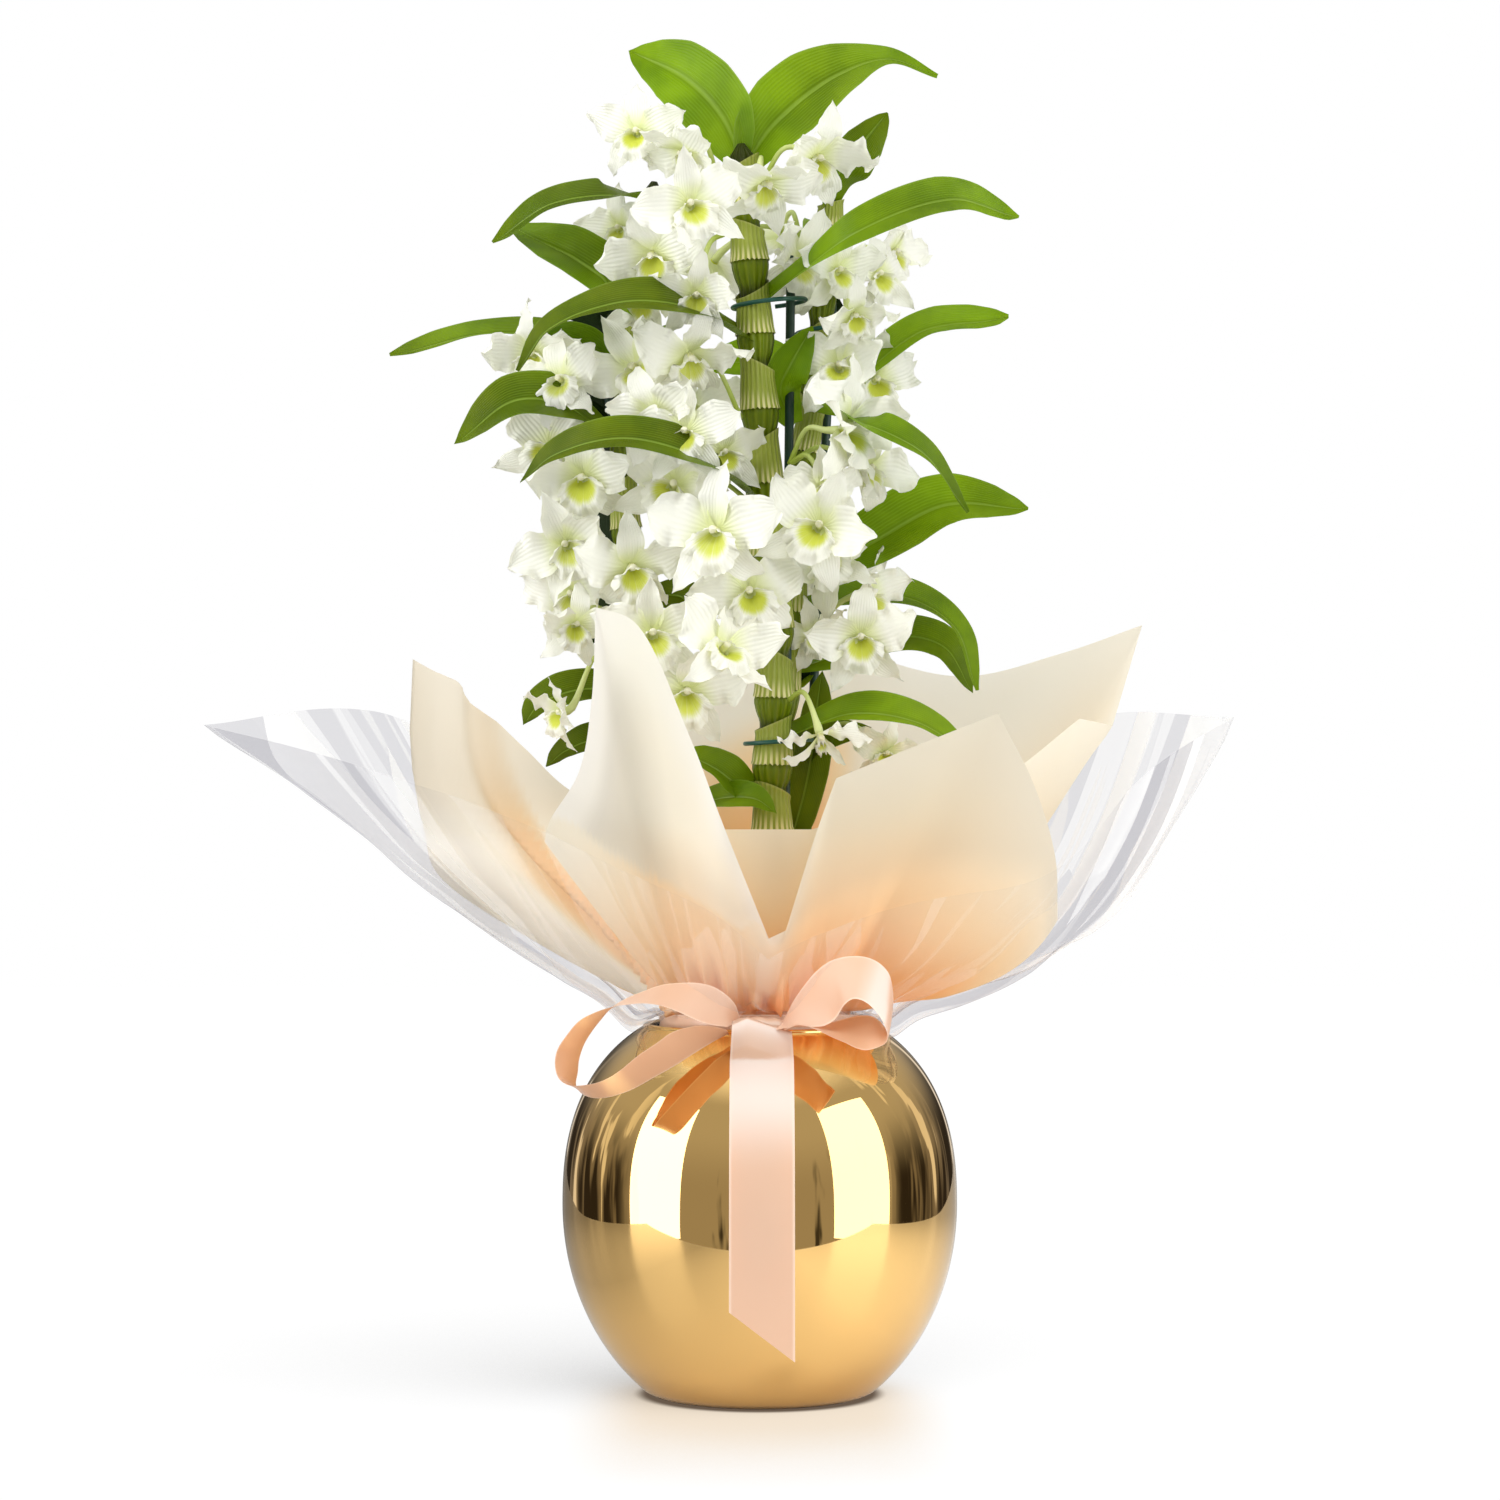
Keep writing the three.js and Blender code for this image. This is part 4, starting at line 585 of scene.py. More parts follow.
def film_material():
    """Clear film with long straight folds, painted white highlights along them and painted greyish shade
    between.

    The third number is 1 where it stands open and less in front, where it lies on the paper.
    """
    n = Nodes("film")
    vector, _, _, open_side = n.place()
    fold = n.noise(1, 1, n.scaled(vector, (8, 0.45, 0)), 0.4)
    fine = n.noise(1, 1, n.scaled(vector, (26, 0.9, 0)), 0.4)
    shard = n.add("TexVoronoi", {"Vector": n.scaled(vector, (9, 2.4, 0)), "Scale": 1.0}, out="Color")
    shard = n.parts(shard)[0]
    facing = n.add("LayerWeight", {"Blend": 0.25}, out="Facing")
    # painted greyish shade in some folds and shards and where the film is seen edge-on
    painted_grey_shade = n.most(n.step(fold, 0.5, 0.515), n.times(n.step(fine, 0.58, 0.6), 0.4),
                  n.times(n.step(shard, 0.66, 0.68), 0.9), n.times(n.step(facing, 0.45, 0.9), 0.6))
    # painted highlights: white along some folds and shard edges
    white = n.most(n.step(fold, 0.42, 0.405), n.times(n.step(fine, 0.4, 0.39), 0.6), n.step(shard, 0.22, 0.2))
    share = n.plus(n.times(facing, 0.15), n.times(white, 0.32))
    share = n.times(share, n.math("MULTIPLY_ADD", open_side, 0.7, 0.3))
    tint = n.mix(open_side, (0.965, 0.965, 0.965), (0.915, 0.913, 0.92))
    tint = n.over(tint, painted_grey_shade, open_side, (0.75, 0.747, 0.77))
    tint = n.over(tint, white, 0.85, (0.99, 0.99, 0.99))
    clear = n.add("BsdfTransparent", {"Color": tint})
    gloss = n.add("BsdfGlossy", {"Color": (0.97, 0.97, 0.98), "Roughness": 0.1})
    frost = n.add("BsdfDiffuse", {"Color": (0.96, 0.96, 0.965)})
    shine = n.add("MixShader", {0: 0.92, 1: gloss, 2: frost})
    return n.finish(n.add("MixShader", {0: n.plus(share, 0.03), 1: clear, 2: shine}))


def satin_material():
    """Satin ribbon with a pale selvedge. A painted whitish highlight lies where it faces up, and painted
    deeper orange shade on its undersides and back faces.
    """
    n = Nodes("satin")
    vector, across, _, painted_highlight_strength = n.place()
    thread = n.wave(n.scaled(vector, (0, 1, 0)), 160.0, 0.3)
    edge = n.step(n.size(across), 0.9, 0.97)
    rise = n.parts(n.add("NewGeometry", out="Normal"))[2]
    # painted highlight where the ribbon tilts up, as strong as the third number
    shine = n.times(n.step(rise, 0.12, 0.5), n.step(rise, 0.98, 0.7))
    colour = n.mix(n.noise(30, 2), (0.72, 0.475, 0.33), (0.755, 0.52, 0.37))
    # painted shade where it faces down
    colour = n.over(colour, n.step(rise, 0.02, -0.6), 0.35, (0.8, 0.43, 0.23))
    colour = n.over(colour, shine, painted_highlight_strength, (0.89, 0.8, 0.73))
    # painted shade on the back faces, the insides of the loops
    colour = n.over(colour, n.add("NewGeometry", out="Backfacing"), 0.45, (0.62, 0.32, 0.15))
    colour = n.over(colour, edge, 0.45, (0.97, 0.84, 0.71))
    bump = (n.plus(thread, edge), 0.12, 0.0002)
    front = n.principled(colour, 0.32, bump, 0.8, sheen_weight=0.3, sheen_roughness=0.35)
    return n.finish(n.thin(front, (0.92, 0.38, 0.13), 0.16))


def gold_material():
    n = Nodes("gold_mirror")
    polish = n.noise(6, 2)
    colour = n.over((0.87, 0.56, 0.2), polish, 0.2, (0.9, 0.6, 0.24))
    rough = n.math("MULTIPLY_ADD", polish, 0.015, 0.015)
    return n.finish(n.principled(colour, rough, metallic=1.0, coat_weight=0.35, coat_roughness=0.03))


def plain_material(name, low, high, rough, scale=60.0, bump=0.2, distance=0.0005):
    n = Nodes(name)
    cloud = n.noise(scale, 4, rough=0.6)
    return n.finish(n.principled(n.mix(cloud, low, high), rough, (cloud, bump, distance)))


PETAL = petal_material()
COLUMN = column_material()
PEDICEL = pedicel_material()
LEAF = leaf_material()
SHEATH = sheath_material()
STEM = stem_material()
PAPER = paper_material()
FILM = film_material()
SATIN = satin_material()
GOLD = gold_material()
STAKE = plain_material("stake", (0.008, 0.03, 0.022), (0.02, 0.06, 0.045), 0.45)
WIRE_COAT = plain_material("tie_wire", (0.008, 0.06, 0.045), (0.02, 0.11, 0.085), 0.35)
BARK = plain_material("bark", (0.04, 0.02, 0.01), (0.16, 0.09, 0.045), 0.9, 90, 0.8, 0.002)
POT = plain_material("pot", (0.03, 0.022, 0.018), (0.045, 0.035, 0.028), 0.55)


# Vase

def vase_radius(z):
    rise = np.asarray(z, float) - VASE["waist"]
    top = 1 - (np.maximum(rise, 0) / VASE["upper"]) ** VASE["power"]
    low = 1 - (np.minimum(rise, 0) / VASE["lower"]) ** 2
    return VASE["radius"] * np.where(rise > 0, top ** (1 / VASE["power"]), np.sqrt(low))


def build_vase():
    height, wall, base = VASE["height"], VASE["wall"], vase_radius(0)
    rim = height - wall / 2
    lip_radius = vase_radius(rim) - wall / 2
    foot = [(0.01, 0.8), (base - 9, 0.8), (base - 7, 0), (base - 2.5, 0.1), (base - 0.6, 0.9)]
    outer = [(vase_radius(z), z) for z in np.linspace(2.5, rim, 96)]
    lip = [(lip_radius + wall / 2 * math.cos(a), rim + wall / 2 * math.sin(a))
           for a in np.linspace(0.2, 2.9, 9)]
    inner = [(vase_radius(z) - wall, z) for z in np.linspace(height - 2, 6, 40)]
    r, z = np.array([*foot, *outer, *lip, *inner, (0.01, 4.5)], float).T[..., None]
    angle = turns(160)
    points = np.stack([r * np.cos(angle), r * np.sin(angle), z + 0 * angle], -1)
    surface("vase_body", GOLD, "vase", "gold_vase", points, ring=True)


# Blooms

SEPAL_WIDTH = ([0, 0.1, 0.25, 0.42, 0.6, 0.78, 0.92, 1], [0.36, 0.6, 0.9, 1, 0.9, 0.6, 0.25, 0.03])
PETAL_WIDTH = ([0, 0.1, 0.25, 0.42, 0.6, 0.77, 0.9, 1], [0.22, 0.46, 0.84, 1, 0.98, 0.76, 0.42, 0.05])
SEPAL = {"length": 35, "half": 8.2, "width": SEPAL_WIDTH, "ruffle": 1.3, "curl": (-110, 25), "layer": 0}
PETALS = {"length": 35, "half": 13, "width": PETAL_WIDTH, "ruffle": 3.2, "curl": (-95, 50), "layer": 1}
TEPALS = [SEPAL, PETALS, SEPAL, SEPAL, PETALS]
LIP = {"radius": 13.5, "throat": 2.4, "drop": 6, "reach": 10.5, "lean": 3.5}
BLOOM_SCALE = 0.98
JITTER = ((-24, 24), (-18, 12), (-20, 20))  # how far turn, tip and roll stray from the table, in degrees
WILTED = {"name": "front_low", "tepals": (1, 0.3, 1.2), "lip": 0.35}


def bloom_frame(at, turn, tip, roll):
    turn, tip, roll = map(math.radians, (turn, tip, roll))
    facing = np.array([math.sin(turn) * math.cos(tip), -math.cos(turn) * math.cos(tip), math.sin(tip)])
    across = unit(np.cross((0, 0, 1), facing))
    up = np.cross(facing, across)
    x = math.cos(roll) * across + math.sin(roll) * up
    y = math.cos(roll) * up - math.sin(roll) * across
    return np.array(at, float), np.stack([x, y, facing])


def tepal_grid(kind, rng, rows=21, columns=13):
    """A sepal or petal with its own curl, twist and frill: outwards, sideways and forward."""
    u = np.linspace(0, 1, rows)[:, None]
    v = np.linspace(-1, 1, columns)[None]
    phase = rng.random(6) * 2 * np.pi
    side = np.where(v > 0, 0.0, 2.1)
    uneven = (1 + 0.05 * np.sin(9 * u + phase[0] + side)
              + 0.03 * np.sin(21 * u + phase[1] + 2 * side) * (kind is PETALS))
    half = kind["half"] * np.interp(u, *kind["width"]) * rng.uniform(0.92, 1.08) * uneven
    # along the middle the blade leans forward at first and then curls back
    lean = math.radians(rng.uniform(12, 30)) + math.radians(rng.uniform(*kind["curl"])) * u**1.3
    step = kind["length"] / (rows - 1)
    out = np.cumsum(np.cos(lean), axis=0) * step - step + 1.8
    rise = np.cumsum(np.sin(lean), axis=0) * step
    cup = rng.uniform(-0.15, 0.5) * np.abs(v) ** 1.6 * half
    frill = kind["ruffle"] * np.abs(v) ** 2.2 * smooth(0.08, 0.45, u)
    waves = np.sin(2 * np.pi * rng.uniform(1.8, 2.9) * u + phase[2] + side)
    fine = np.sin(2 * np.pi * rng.uniform(4.5, 6) * u + phase[3] + side)
    lift = cup + frill * (waves + 0.35 * fine)
    twist = math.radians(rng.uniform(-60, 60)) * u
    w = v * half
    sway = rng.uniform(-3, 3) * u**2
    return np.stack([out - np.sin(lean) * lift - 0.04 * v**2 * kind["length"] * smooth(0.6, 1, u),
                     w * np.cos(twist) - lift * np.sin(twist) + sway,
                     rise + lift * np.cos(lean) * np.cos(twist) + w * np.sin(twist)], -1), u, v


def lip_grid(rng, width):
    """The lip: a short tube round the column that opens into a wide frilled plate, and where it is lime."""
    t = np.linspace(0, 1, 17)[:, None]
    a = turns(56)[None]
    top = np.cos(a)
    radius = LIP["radius"] * width * rng.uniform(0.93, 1.06)
    radius = radius * (1 - 0.3 * smooth(0.1, 1, top) + 0.12 * smooth(0.3, 1, -top))
    phase = rng.random(5) * 2 * np.pi
    frill = smooth(0.45, 1, t)
    notch = np.abs(np.sin(9 * a / 2 + phase[0])) * 0.06 + 0.03 * np.sin(17 * a + phase[3])
    radius = radius * (1 - frill * notch)
    r = LIP["throat"] + (radius - LIP["throat"]) * t**1.15
    z = LIP["reach"] * (1 - (1 - t) ** 2.3) - LIP["lean"] * top * t
    z = z - 3.2 * smooth(0.62, 1, t) * smooth(-0.9, 0.4, -top)
    z = z + frill * (2.3 * np.sin(6 * a + phase[1]) + 1.2 * np.sin(13 * a + phase[2])
                     + 0.5 * np.sin(23 * a + phase[4]))
    spot = (1 - smooth(0.36, 0.74, t)) * (0.35 + 0.65 * smooth(0.6, -0.5, top)) * rng.uniform(0.75, 1)
    points = np.stack([r * np.sin(a), -LIP["drop"] * t**1.1 + 0.92 * r * np.cos(a), z + 0 * a], -1)
    return points, (4 * a / (2 * np.pi), 1 + 0 * t, 0.02 + 0.98 * spot)


def add_bloom(shape, root, at, turn, tip, roll, size, rng, wilted):
    size = size * BLOOM_SCALE
    aim = [value + rng.uniform(*stray) for value, stray in zip((turn, tip, roll), JITTER)]
    origin, basis = bloom_frame(at, *aim)

    def put(points):
        return origin + points @ basis

    for k, kind in enumerate(TEPALS):
        grid, u, v = tepal_grid(kind, rng)
        grid = grid * size
        if wilted:
            grid = grid * WILTED["tepals"]
        angle = math.pi / 2 - k * 2 * math.pi / 5 + rng.uniform(-0.1, 0.1)
        c, s = math.cos(angle), math.sin(angle)
        d, w, z = np.moveaxis(grid, -1, 0)
        points = np.stack([c * d + s * w, s * d - c * w, z + kind["layer"] * size], -1)
        shape.grid(put(points), (v * 0.5, u, 0))

    points, place = lip_grid(rng, WILTED["lip"] if wilted else 1)
    shape.grid(put(points * size), place, ring=True)

    # the column stands in the upper side of the throat
    share = np.linspace(0, 1, 9)
    line = np.stack([0 * share, 1 + 1.2 * share, 1 + 6.5 * share], -1) * size
    girth = size * np.interp(share, [0, 0.5, 0.75, 0.92, 1], [1.8, 1.7, 2.1, 1.5, 0.3])
    shape.tube(put(line), girth, 10, slot=2, start=(1, 0, 0.2))

    # the pedicel hooks back from the bloom to the root
    root = np.array(root, float)
    back = put(np.array([0, 1, -8 * size]))
    arch = (root + back) / 2 + (0, 0, 9)
    share = np.linspace(0, 1, 18)
    line = spaced([put(np.array([0.0, 0, 0.6])), back, arch, root], share)
    girth = np.interp(share, [0, 0.1, 0.25, 0.5, 1], [2.0, 2.1, 1.5, 1.2, 1.3])
    shape.tube(line, girth, 8, slot=1, start=(1, 0.1, 0))


def build_sprays():
    for number, (name, (root, blooms)) in enumerate(SPRAYS.items()):
        shape = Shape()
        for k, bloom in enumerate(blooms):
            rng = np.random.default_rng(1000 + 17 * number + k)
            add_bloom(shape, root, *bloom, rng, name == WILTED["name"])
        shape.piece(f"blooms_{name}", [PETAL, PEDICEL, COLUMN], [f"spray_{name}"])


# Canes and leaves

LEAF_WIDTH = {
    "oval": ([0, 0.06, 0.15, 0.3, 0.5, 0.7, 0.85, 0.95, 1], [0.3, 0.45, 0.7, 0.93, 1, 0.88, 0.6, 0.3, 0.03]),
    "tailed": ([0, 0.06, 0.15, 0.3, 0.45, 0.6, 0.75, 0.86, 1],
               [0.3, 0.5, 0.8, 1, 0.98, 0.8, 0.45, 0.24, 0.04]),
    "strap": ([0, 0.06, 0.2, 0.45, 0.65, 0.8, 0.92, 1], [0.55, 0.7, 0.9, 1, 0.95, 0.78, 0.45, 0.03]),
    "late": ([0, 0.06, 0.2, 0.5, 0.72, 0.86, 0.95, 1], [0.5, 0.62, 0.72, 0.84, 1, 0.8, 0.45, 0.03]),
}
STEM_SWELL = ([0, 0.05, 0.5, 0.62, 0.74, 0.9, 0.985, 1], [0.9, 0.8, 0.66, 0.68, 0.86, 0.99, 0.97, 0.9])
CANE_TAPER = 0.14
CANE_ANGLE = turns(56)[None]


def add_leaf(shape, rng, line, width, outline, tone, face, face_end=None, rows=48, columns=15):
    u = np.linspace(0, 1, rows)[:, None]
    v = np.linspace(-1, 1, columns)[None]
    centre = spaced(line, u[:, 0])
    up = unit(np.array(face) * (1 - u) + np.array(face_end or face) * u)
    side = unit(np.cross(along(centre), up))
    normal = unit(np.cross(side, along(centre)))
    half = width / 2 * np.interp(u, *LEAF_WIDTH[outline])
    fold = 0.38 * half * (np.abs(v) ** 1.2 - 1) + 0.05 * half * np.sin(np.pi * np.abs(v))
    wave = 0.9 * np.sin(2 * np.pi * (1.6 * u + rng.random())) * np.abs(v) ** 2 * np.sign(v)
    points = centre[:, None] + (half * v)[..., None] * side[:, None]
    shape.grid(points + (fold + wave)[..., None] * normal[:, None], (v, u, tone), 2)


def cane_ends(cane):
    return cane["line"][0][2], cane["line"][-1][2]


def cane_radius(cane, z):
    low, high = cane_ends(cane)
    return cane["radius"] * (1 - CANE_TAPER * (z - low) / (high - low))


def cane_point(line, height):
    """Centre and direction of the cane at heights."""
    dense = spline(line)
    tangent = along(dense)
    centre = np.stack([np.interp(height, dense[:, 2], dense[:, k]) for k in range(3)], -1)
    direction = unit(np.stack([np.interp(height, dense[:, 2], tangent[:, k]) for k in range(3)], -1))
    return centre, direction


def cane_ring(cane, height, radius):
    """Points on the cane's surface at heights and radii that are given for each angle round it."""
    angle = CANE_ANGLE + 0 * height
    centre, direction = cane_point(cane["line"], height)
    across = unit(np.cross((0.0, 1.0, 0.0), direction))
    away = np.cross(direction, across)
    return centre + (radius * np.cos(angle))[..., None] * across + (radius * np.sin(angle))[..., None] * away


def add_stem(shape, cane):
    """The bare stem, which swells from node to node."""
    low, high = cane_ends(cane)
    z = np.linspace(low, high, 260)[:, None]
    levels = [low - 4, *cane["nodes"], high + 25]
    share = np.interp(z, levels, np.arange(len(levels))) % 1
    swell = np.interp(share, *STEM_SWELL)
    swell = np.where(z > high - 6, swell * np.interp(z, [high - 6, high], [1, 0.3]), swell)
    ribs = 1 + 0.018 * np.cos(14 * CANE_ANGLE)
    points = cane_ring(cane, z + 0 * CANE_ANGLE, cane_radius(cane, z) * swell * ribs)
    shape.grid(points, (CANE_ANGLE / (2 * np.pi), share, 0), 1, ring=True, caps=True)


def add_sheath(shape, cane, start, end, turn):
    """A papery sleeve from a node upwards, longer on one side, with a flared top and a fringe below."""
    t = np.linspace(0, 1, 14)[:, None]
    length = (min(end, cane_ends(cane)[1] + 4) - start) * (0.6 + 0.13 * np.cos(CANE_ANGLE - turn))
    rise = start + length * t
    teeth = np.abs(np.sin(13 * CANE_ANGLE))
    flare = 0.5 * smooth(0.82, 1, t) + 0.35 * smooth(0.12, 0, t)
    fringe = 0.5 * smooth(0.1, 0, t) * teeth
    radius = cane_radius(cane, start) * (1.01 - 0.15 * smooth(0, 1, t)) + flare + fringe
    radius = radius * (1 + 0.01 * np.cos(24 * CANE_ANGLE))
    points = cane_ring(cane, rise - 1.2 * smooth(0.1, 0, t) * teeth, radius)
    shape.grid(points, (CANE_ANGLE / (2 * np.pi), t, 0), ring=True)


def build_canes():
    for number, (name, cane) in enumerate(CANES.items()):
        rng = np.random.default_rng(50 + number)
        shape = Shape()
        add_stem(shape, cane)
        nodes, high = cane["nodes"], cane_ends(cane)[1]
        for k, (start, end) in enumerate(zip(nodes, [*nodes[1:], high + 20])):
            if start <= high - 14:
                turn = math.pi * (k % 2) + rng.uniform(-0.4, 0.4) + (0.25 if name == "front" else 0)
                add_sheath(shape, cane, start, end, turn)
        for leaf in LEAVES[name]:
            add_leaf(shape, rng, *leaf)
        shape.piece(f"leafy_cane_{name}", [SHEATH, STEM, LEAF], [f"cane_{name}"])


def build_supports():
    for name, ends in STAKES.items():
        shape = Shape()
        t = np.linspace(0, 1, 60)[:, None]
        line = np.array(ends[0]) * (1 - t) + np.array(ends[1]) * t
        shape.tube(line, STAKE_RADIUS * np.interp(t[:, 0], [0, 0.985, 1], [1, 1, 0.55]), 16)
        shape.piece(f"support_{name}", [STAKE], [f"stake_{name}"])
    for name, (at, axes, rise) in TIES.items():
        shape = Shape()
        a = np.radians(np.linspace(100, 440, 60))
        line = [at[0] + axes[0] * np.cos(a), at[1] + axes[1] * np.sin(a), at[2] + rise * np.cos(a)]
        shape.tube(np.stack(line, -1), WIRE_RADIUS, 10, start=(0, 0, 1))
        shape.piece(f"wire_{name}", [WIRE_COAT], [f"tie_{name}"])


# Wrapping

def edge_points(edge, ring, per_span, corners, bend):
    """Points along an edge, with a corner at the given points and on a smooth curve elsewhere."""
    rows = [(*p[:3], *(p[3:] or bend)) for p in edge]
    if ring:
        rows.append(rows[0])
    cuts = [0, *[c for c in corners if 0 < c < len(rows) - 1], len(rows) - 1]
    out = []
    for a, b in zip(cuts, cuts[1:]):
        share = np.linspace(0, 1, per_span, endpoint=False)[:, None]
        straight = np.array(rows[a]) + (np.array(rows[b]) - rows[a]) * share
        out.append(spline(rows[a:b + 1], per_span)[:-1] if b - a > 1 else straight)
    if not ring:
        out.append(np.array([rows[-1]]))
    return np.vstack(out)


def pleats(azimuth, u, creases):
    """Folds that run out from the neck.

    Each crease: azimuth, height, half width in degrees, the u where it has faded, and a slant if it has one.
    """
    turn = np.degrees(azimuth)
    lift = np.zeros(np.broadcast_shapes(turn.shape, u.shape))
    for at, height, width, end, *slant in creases:
        off = np.abs((turn - at - sum(slant) * (1 - u) + 180) % 360 - 180)
        ridge = height * np.maximum(1 - off / width, 0)
        lift = lift + ridge * smooth(-0.01, 0.06, u) * smooth(end, 0.45 * end, u)
    return lift


def scatter_creases(seed, count, height, width, end, first=-180, last=180):
    """Creases in about even steps of azimuth, each a little different and every other one a valley."""
    rng = np.random.default_rng(seed)
    at = first + (np.arange(count) + rng.uniform(0.15, 0.85, count)) * (last - first) / count
    return [(float(a), float(rng.uniform(0.4, 1) * height * (-1) ** k), float(rng.uniform(0.6, 1.2) * width),
             float(rng.uniform(0.5, 1) * end)) for k, a in enumerate(at)]


def wrap(edge, corners, creases, neck_radius, ring=True, per_span=14, rows=44, bend=BEND, sag=0.0):
    """A sheet gathered at the neck that falls outwards to its edge: its grid, u along it and azimuth."""
    points = edge_points(edge, ring, per_span, corners, bend)
    tip, belly, rise, weight = points[:, :3], points[:, 3:4], points[:, 4:5], points[:, 5:6]
    out = unit(tip * (1, 1, 0))
    flare = NECK["flare"] - NECK["tilt"] * out[:, 1:2]
    neck = out * neck_radius
    start = neck + UP * flare
    reach = np.linalg.norm(tip[:, :2], axis=1, keepdims=True) - neck_radius
    turn = start + out * reach * belly + UP * rise * (tip[:, 2:3] - flare)
    t = np.linspace(0, 1, rows)[:, None, None] ** 1.25
    share = (1 - t) ** 2 + 2 * weight * t * (1 - t) + t**2
    body = (start * (1 - t) ** 2 + 2 * weight * turn * t * (1 - t) + tip * t**2) / share
    inside = smooth(1, 0.75, t)
    for _ in range(5):  # the corners of the edge fade out inside the sheet
        pad = np.pad(body, ((0, 0), (4, 4), (0, 0)), "wrap" if ring else "edge")
        soft = sum(pad[:, k:k + body.shape[1]] for k in range(9)) / 9
        if not ring:
            soft[:, :4], soft[:, -4:] = body[:, :4], body[:, -4:]
        body = body + (soft - body) * inside
    low = (neck + UP * NECK["low"])[None]
    s = np.linspace(0, 1, 5)[:-1, None, None]
    grid = np.concatenate([low * (1 - s) + start * s, body])
    u = np.concatenate([np.zeros(4), t[:, 0, 0]])[:, None]
    angle = np.arctan2(out[:, 1], out[:, 0])[None]
    step = np.gradient(grid, axis=0)
    facing = unit(np.cross(np.cross(out[None], UP), step))  # square to the sheet, away from the plant
    radius = np.linalg.norm(grid[..., :2], axis=-1)
    droop = sag * np.exp(-(((radius - 62) / 10) ** 2)) * smooth(0, 0.02, u)
    grid = grid + pleats(angle, u, creases)[..., None] * -facing - droop[..., None] * UP
    return grid, u, angle


def crinkle(grid, u, angle):
    """Sharp creases in the film, drawn out along its fall."""
    lift = np.zeros(grid.shape[:2])
    reach = np.linalg.norm(grid[..., :2], axis=-1)
    calm = smooth(1, 0.75, u[:, 0])
    for i, j in np.ndindex(*lift.shape):
        turn, far, level = angle[0, j], reach[i, j], u[i, 0]
        q = Vector((2.3 * math.cos(turn), 2.3 * math.sin(turn), far * 0.005))
        wide = noise.voronoi(q * 1.6, distance_metric="DISTANCE")[0]
        fine = noise.voronoi(q * 4.0 + Vector((5, 2, 1)), distance_metric="DISTANCE")[0]
        lift[i, j] = 7.0 * (wide[1] - wide[0] - 0.25) + 3.0 * (fine[1] - fine[0] - 0.2) * calm[i]
        lift[i, j] *= min(level * 2.2, 0.25 + 0.75 * calm[i])
    away = np.stack([np.cos(angle), np.sin(angle), 0 * angle], -1)
    return grid + lift[..., None] * (0.5 * away - 0.7 * UP)


def build_inner_sheet():
    folds = scatter_creases(seed=3, count=26, height=3.2, width=6, end=0.5)
    folds += scatter_creases(seed=4, count=9, height=5, width=13, end=0.95) + INNER_FOLDS
    grid, u, angle = wrap(INNER_EDGE, INNER_CORNERS, folds, neck_radius=43.6)
    turn, north = np.degrees(angle) % 360, np.sin(angle)
    warm_tone_and_painted_glow = 0.08 + 0.2 * smooth(-0.8, -0.97, north) - 0.18 * smooth(0.2, 0.7, north)
    # painted glow makes the middle of the back more orange low down, between the canes
    warm_tone_and_painted_glow = warm_tone_and_painted_glow + 0.6 * smooth(0.8, 0.95, north) * smooth(0.98, 0.78, u)
    # the tall left corner is pale outside, with painted shade near its top and painted orange glow in the
    # fold by the front
    wing = smooth(160, 170, turn) * smooth(232, 214, turn)
    painted_fold_glow = smooth(-1.5, 4, turn - 184 - 13 * (1 - u)) * (1 - 0.8 * smooth(3, 5, turn - 185 - 27.8 * (1 - u)))
    top = smooth(0.75, 0.92, u)
    painted_fold_glow_shift = painted_fold_glow * (0.93 - 0.25 * top - 0.5 * smooth(0.8, 1, u))
    warm_tone_and_painted_glow = warm_tone_and_painted_glow * (1 - wing) + wing * (u - 1.15 + 0.3 * top + painted_fold_glow_shift)
    shade = 1 + wing * (0.04 - 0.28 * smooth(0.7, 0.97, u) - 0.03 * painted_fold_glow)
    place = (shade, u, warm_tone_and_painted_glow)
    inner = surface("paper_sheet_inner", PAPER, "paper_inner", "wrap_paper", grid, place, ring=True)


def build_outer_sheet():
    folds = scatter_creases(seed=8, count=22, height=3.4, width=5, end=0.42, first=200, last=345)
    folds += OUTER_FOLDS
    grid, u, angle = wrap(OUTER_EDGE, OUTER_CORNERS, folds, neck_radius=45, ring=False)
    turn = np.degrees(angle) % 360
    # in both lobes a slanting crease parts the open paper above from the peach folds below; painted shade and
    # painted glow step there, with a painted shade line along the crease
    crease = np.interp(turn, *OUTER_CREASE)
    right, far_right = smooth(272, 280, turn), smooth(314, 326, turn)
    above = smooth(-1, 1, (u - crease) / (0.02 + 0.05 * right))
    warm_tone_and_painted_glow = 0.12 - (1 - right) * (0.18 + 0.24 * above) + right * (1 - above) * 0.03
    right_shade = 1.02 - above * (0.09 + 0.07 * far_right) - 0.04 * smooth(0.45, 0.75, u)
    right_shade = right_shade - 0.06 * (1 - above) * far_right
    # painted shade on the lower left of the left lobe, below its top
    low_left = 0.14 * smooth(240, 228, turn) * smooth(0.93, 0.83, u)
    left_shade = 0.95 + above * (0.02 - low_left) - 0.06 * smooth(0.15, 0, np.abs(u - crease - 0.08))
    shade = right * right_shade + (1 - right) * left_shade
    outer = surface("paper_sheet_outer", PAPER, "paper_outer", "wrap_paper", grid, (shade, u, warm_tone_and_painted_glow))


